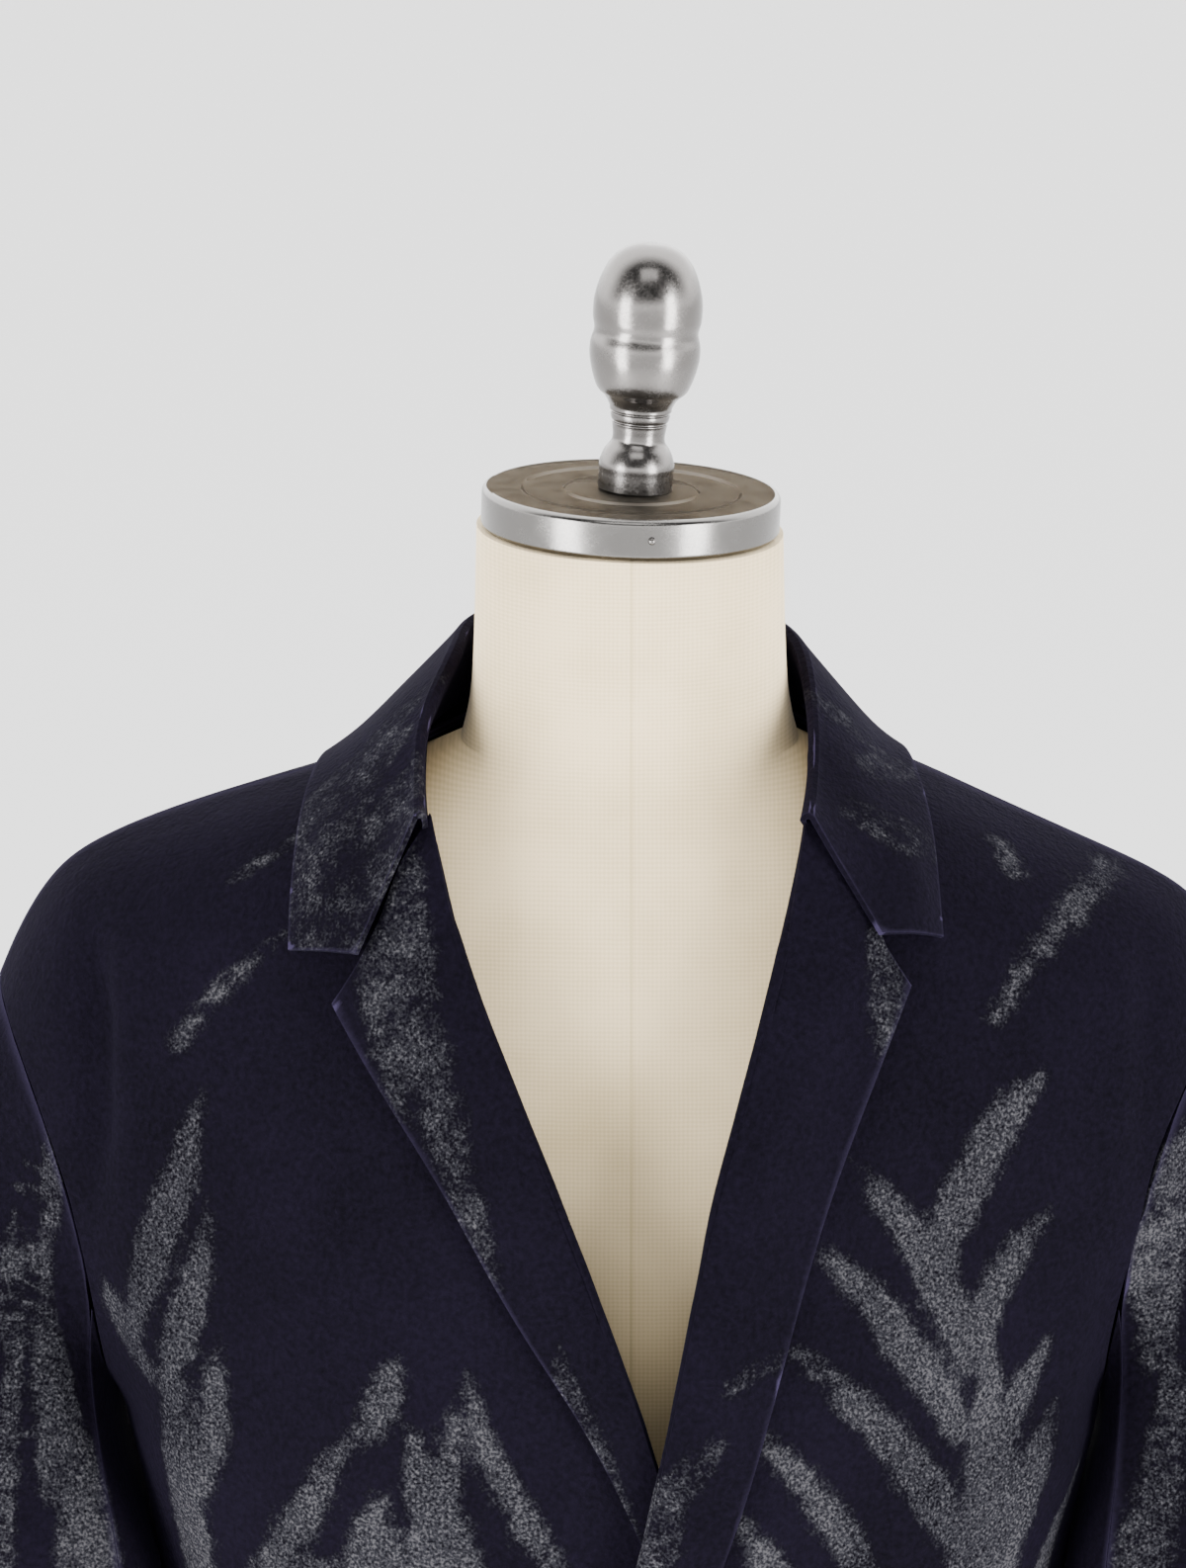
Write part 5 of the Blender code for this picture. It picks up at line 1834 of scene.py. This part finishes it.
# ---- studio ----
@dataclass(frozen=True)
class Softbox:
    """One soft lamp.

    Attributes:
        name: its name.
        place: where it stands, m.
        aim: what it points at, m.
        face: width and height of its face, m.
        watts: its power.
    """

    name: str
    place: Place
    aim: Place
    face: tuple[float, float]
    watts: float

    def build(self) -> None:
        """Adds the lamp."""
        data = bpy.data.lights.new(self.name, "AREA")
        data.shape = "RECTANGLE"
        data.size, data.size_y = self.face
        data.energy = self.watts
        lamp = bpy.data.objects.new(self.name, data)
        lamp.location = self.place
        way = Vector(self.aim) - Vector(self.place)
        lamp.rotation_euler = way.to_track_quat("-Z", "Y").to_euler()
        bpy.context.scene.collection.objects.link(lamp)


@dataclass
class Studio:
    """Plain pale studio with soft lamps on both sides and the camera at the photograph's angle.

    Attributes:
        camera_place: where the camera stands, m.
        pitch: its turn up from straight down, radians.
        lens: its focal length for a film 36 mm high, mm.
        backdrop: light of the world behind the coat and low down.
        horizon: share of that light at the horizon itself.
        front: light of the world high up in front of the coat.
        floor: colour of the floor.
        floor_reach: way from the middle to the floor's edges, mm.
        floor_low: how far it lies under the base, mm.
        lamps: the soft lamps.
    """

    camera_place: Place = (-0.015407, -2.550063, 2.130614)
    pitch: float = math.radians(90 - 14.8005)
    lens: float = 143.646
    backdrop: float = 5.3
    horizon: float = 0.62
    front: float = 0.06
    floor: str = "#ececec"
    floor_reach: float = 9e4
    floor_low: float = 0.5
    lamps: tuple[Softbox, ...] = (
        Softbox("key_softbox", (-2.05, -1.75, 1.35), (0, 0, 1.35), (0.95, 2.3), 155),
        Softbox("fill_softbox", (2.05, -1.75, 1.35), (0, 0, 1.35), (0.95, 2.3), 155),
        Softbox("front_softbox", (0.0, -2.6, 4.6), (0, 0, 1.3), (2.6, 1.6), 45),
    )

    def build(self) -> None:
        """Adds the floor, world, lamps and camera."""
        self._add_floor()
        bpy.context.scene.world = self._world()
        for lamp in self.lamps:
            lamp.build()
        self._add_camera()

    def _add_floor(self) -> None:
        """Adds the floor."""
        reach, low = self.floor_reach, -self.floor_low
        corners = [(-reach, -reach, low), (reach, -reach, low), (reach, reach, low), (-reach, reach, low)]
        floor = new_object("studio_floor", mesh_of("floor", corners, [(0, 1, 2, 3)]))
        material, tree, shader = new_surface("pale_studio_floor")
        inputs = {"Base Color": linear(self.floor), "Roughness": 0.9, "Specular IOR Level": 0.0}
        set_inputs(tree, shader, inputs)
        floor.data.materials.append(material)

    def _add_camera(self) -> None:
        """Adds the camera."""
        eye = bpy.data.cameras.new("camera")
        eye.lens = self.lens
        eye.sensor_fit = "VERTICAL"
        eye.sensor_height = 36.0
        eye.clip_end = 400.0
        holder = bpy.data.objects.new("camera", eye)
        holder.location = self.camera_place
        holder.rotation_euler = (self.pitch, 0.0, 0.0)
        scene = bpy.context.scene
        scene.collection.objects.link(holder)
        scene.camera = holder

    def _world(self) -> bpy.types.World:
        """Makes a world that is pale behind the coat and all round, and dim high up in front of it.

        Returns:
            The world.
        """
        world = bpy.data.worlds.new("studio_world")
        world.use_nodes = True
        tree = world.node_tree
        way = add_node(tree, "ShaderNodeTexCoord", out="Generated")
        deep, up = (add_node(tree, "ShaderNodeSeparateXYZ", {0: way}, out) for out in ("Y", "Z"))
        behind, low, rise = (
            add_node(tree, "ShaderNodeMapRange", {"Value": value, **ends})
            for value, ends in (
                (deep, span(-0.25, 0.25, self.front, self.backdrop)),
                (up, span(0.10, 0.30, self.backdrop, self.front)),
                (up, span(0.0, 0.16, self.horizon, 1.0)),
            )
        )
        lit = add_node(tree, "ShaderNodeMath", {0: behind, 1: low}, operation="MAXIMUM")
        strength = add_node(tree, "ShaderNodeMath", {0: lit, 1: rise}, operation="MULTIPLY")
        set_inputs(tree, tree.nodes["Background"], {"Color": linear("#ffffff"), "Strength": strength})
        return world


def main() -> None:
    """Builds the coat, the form, the stand and the studio in order."""
    logging.basicConfig(level=logging.INFO, format="%(name)s: %(message)s")
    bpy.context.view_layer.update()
    log.info("coat")
    Overcoat().build()
    log.info("dress form and stand")
    DressForm().build()
    Stand().build()
    log.info("studio")
    Studio().build()


if __name__ == "__main__":
    main()
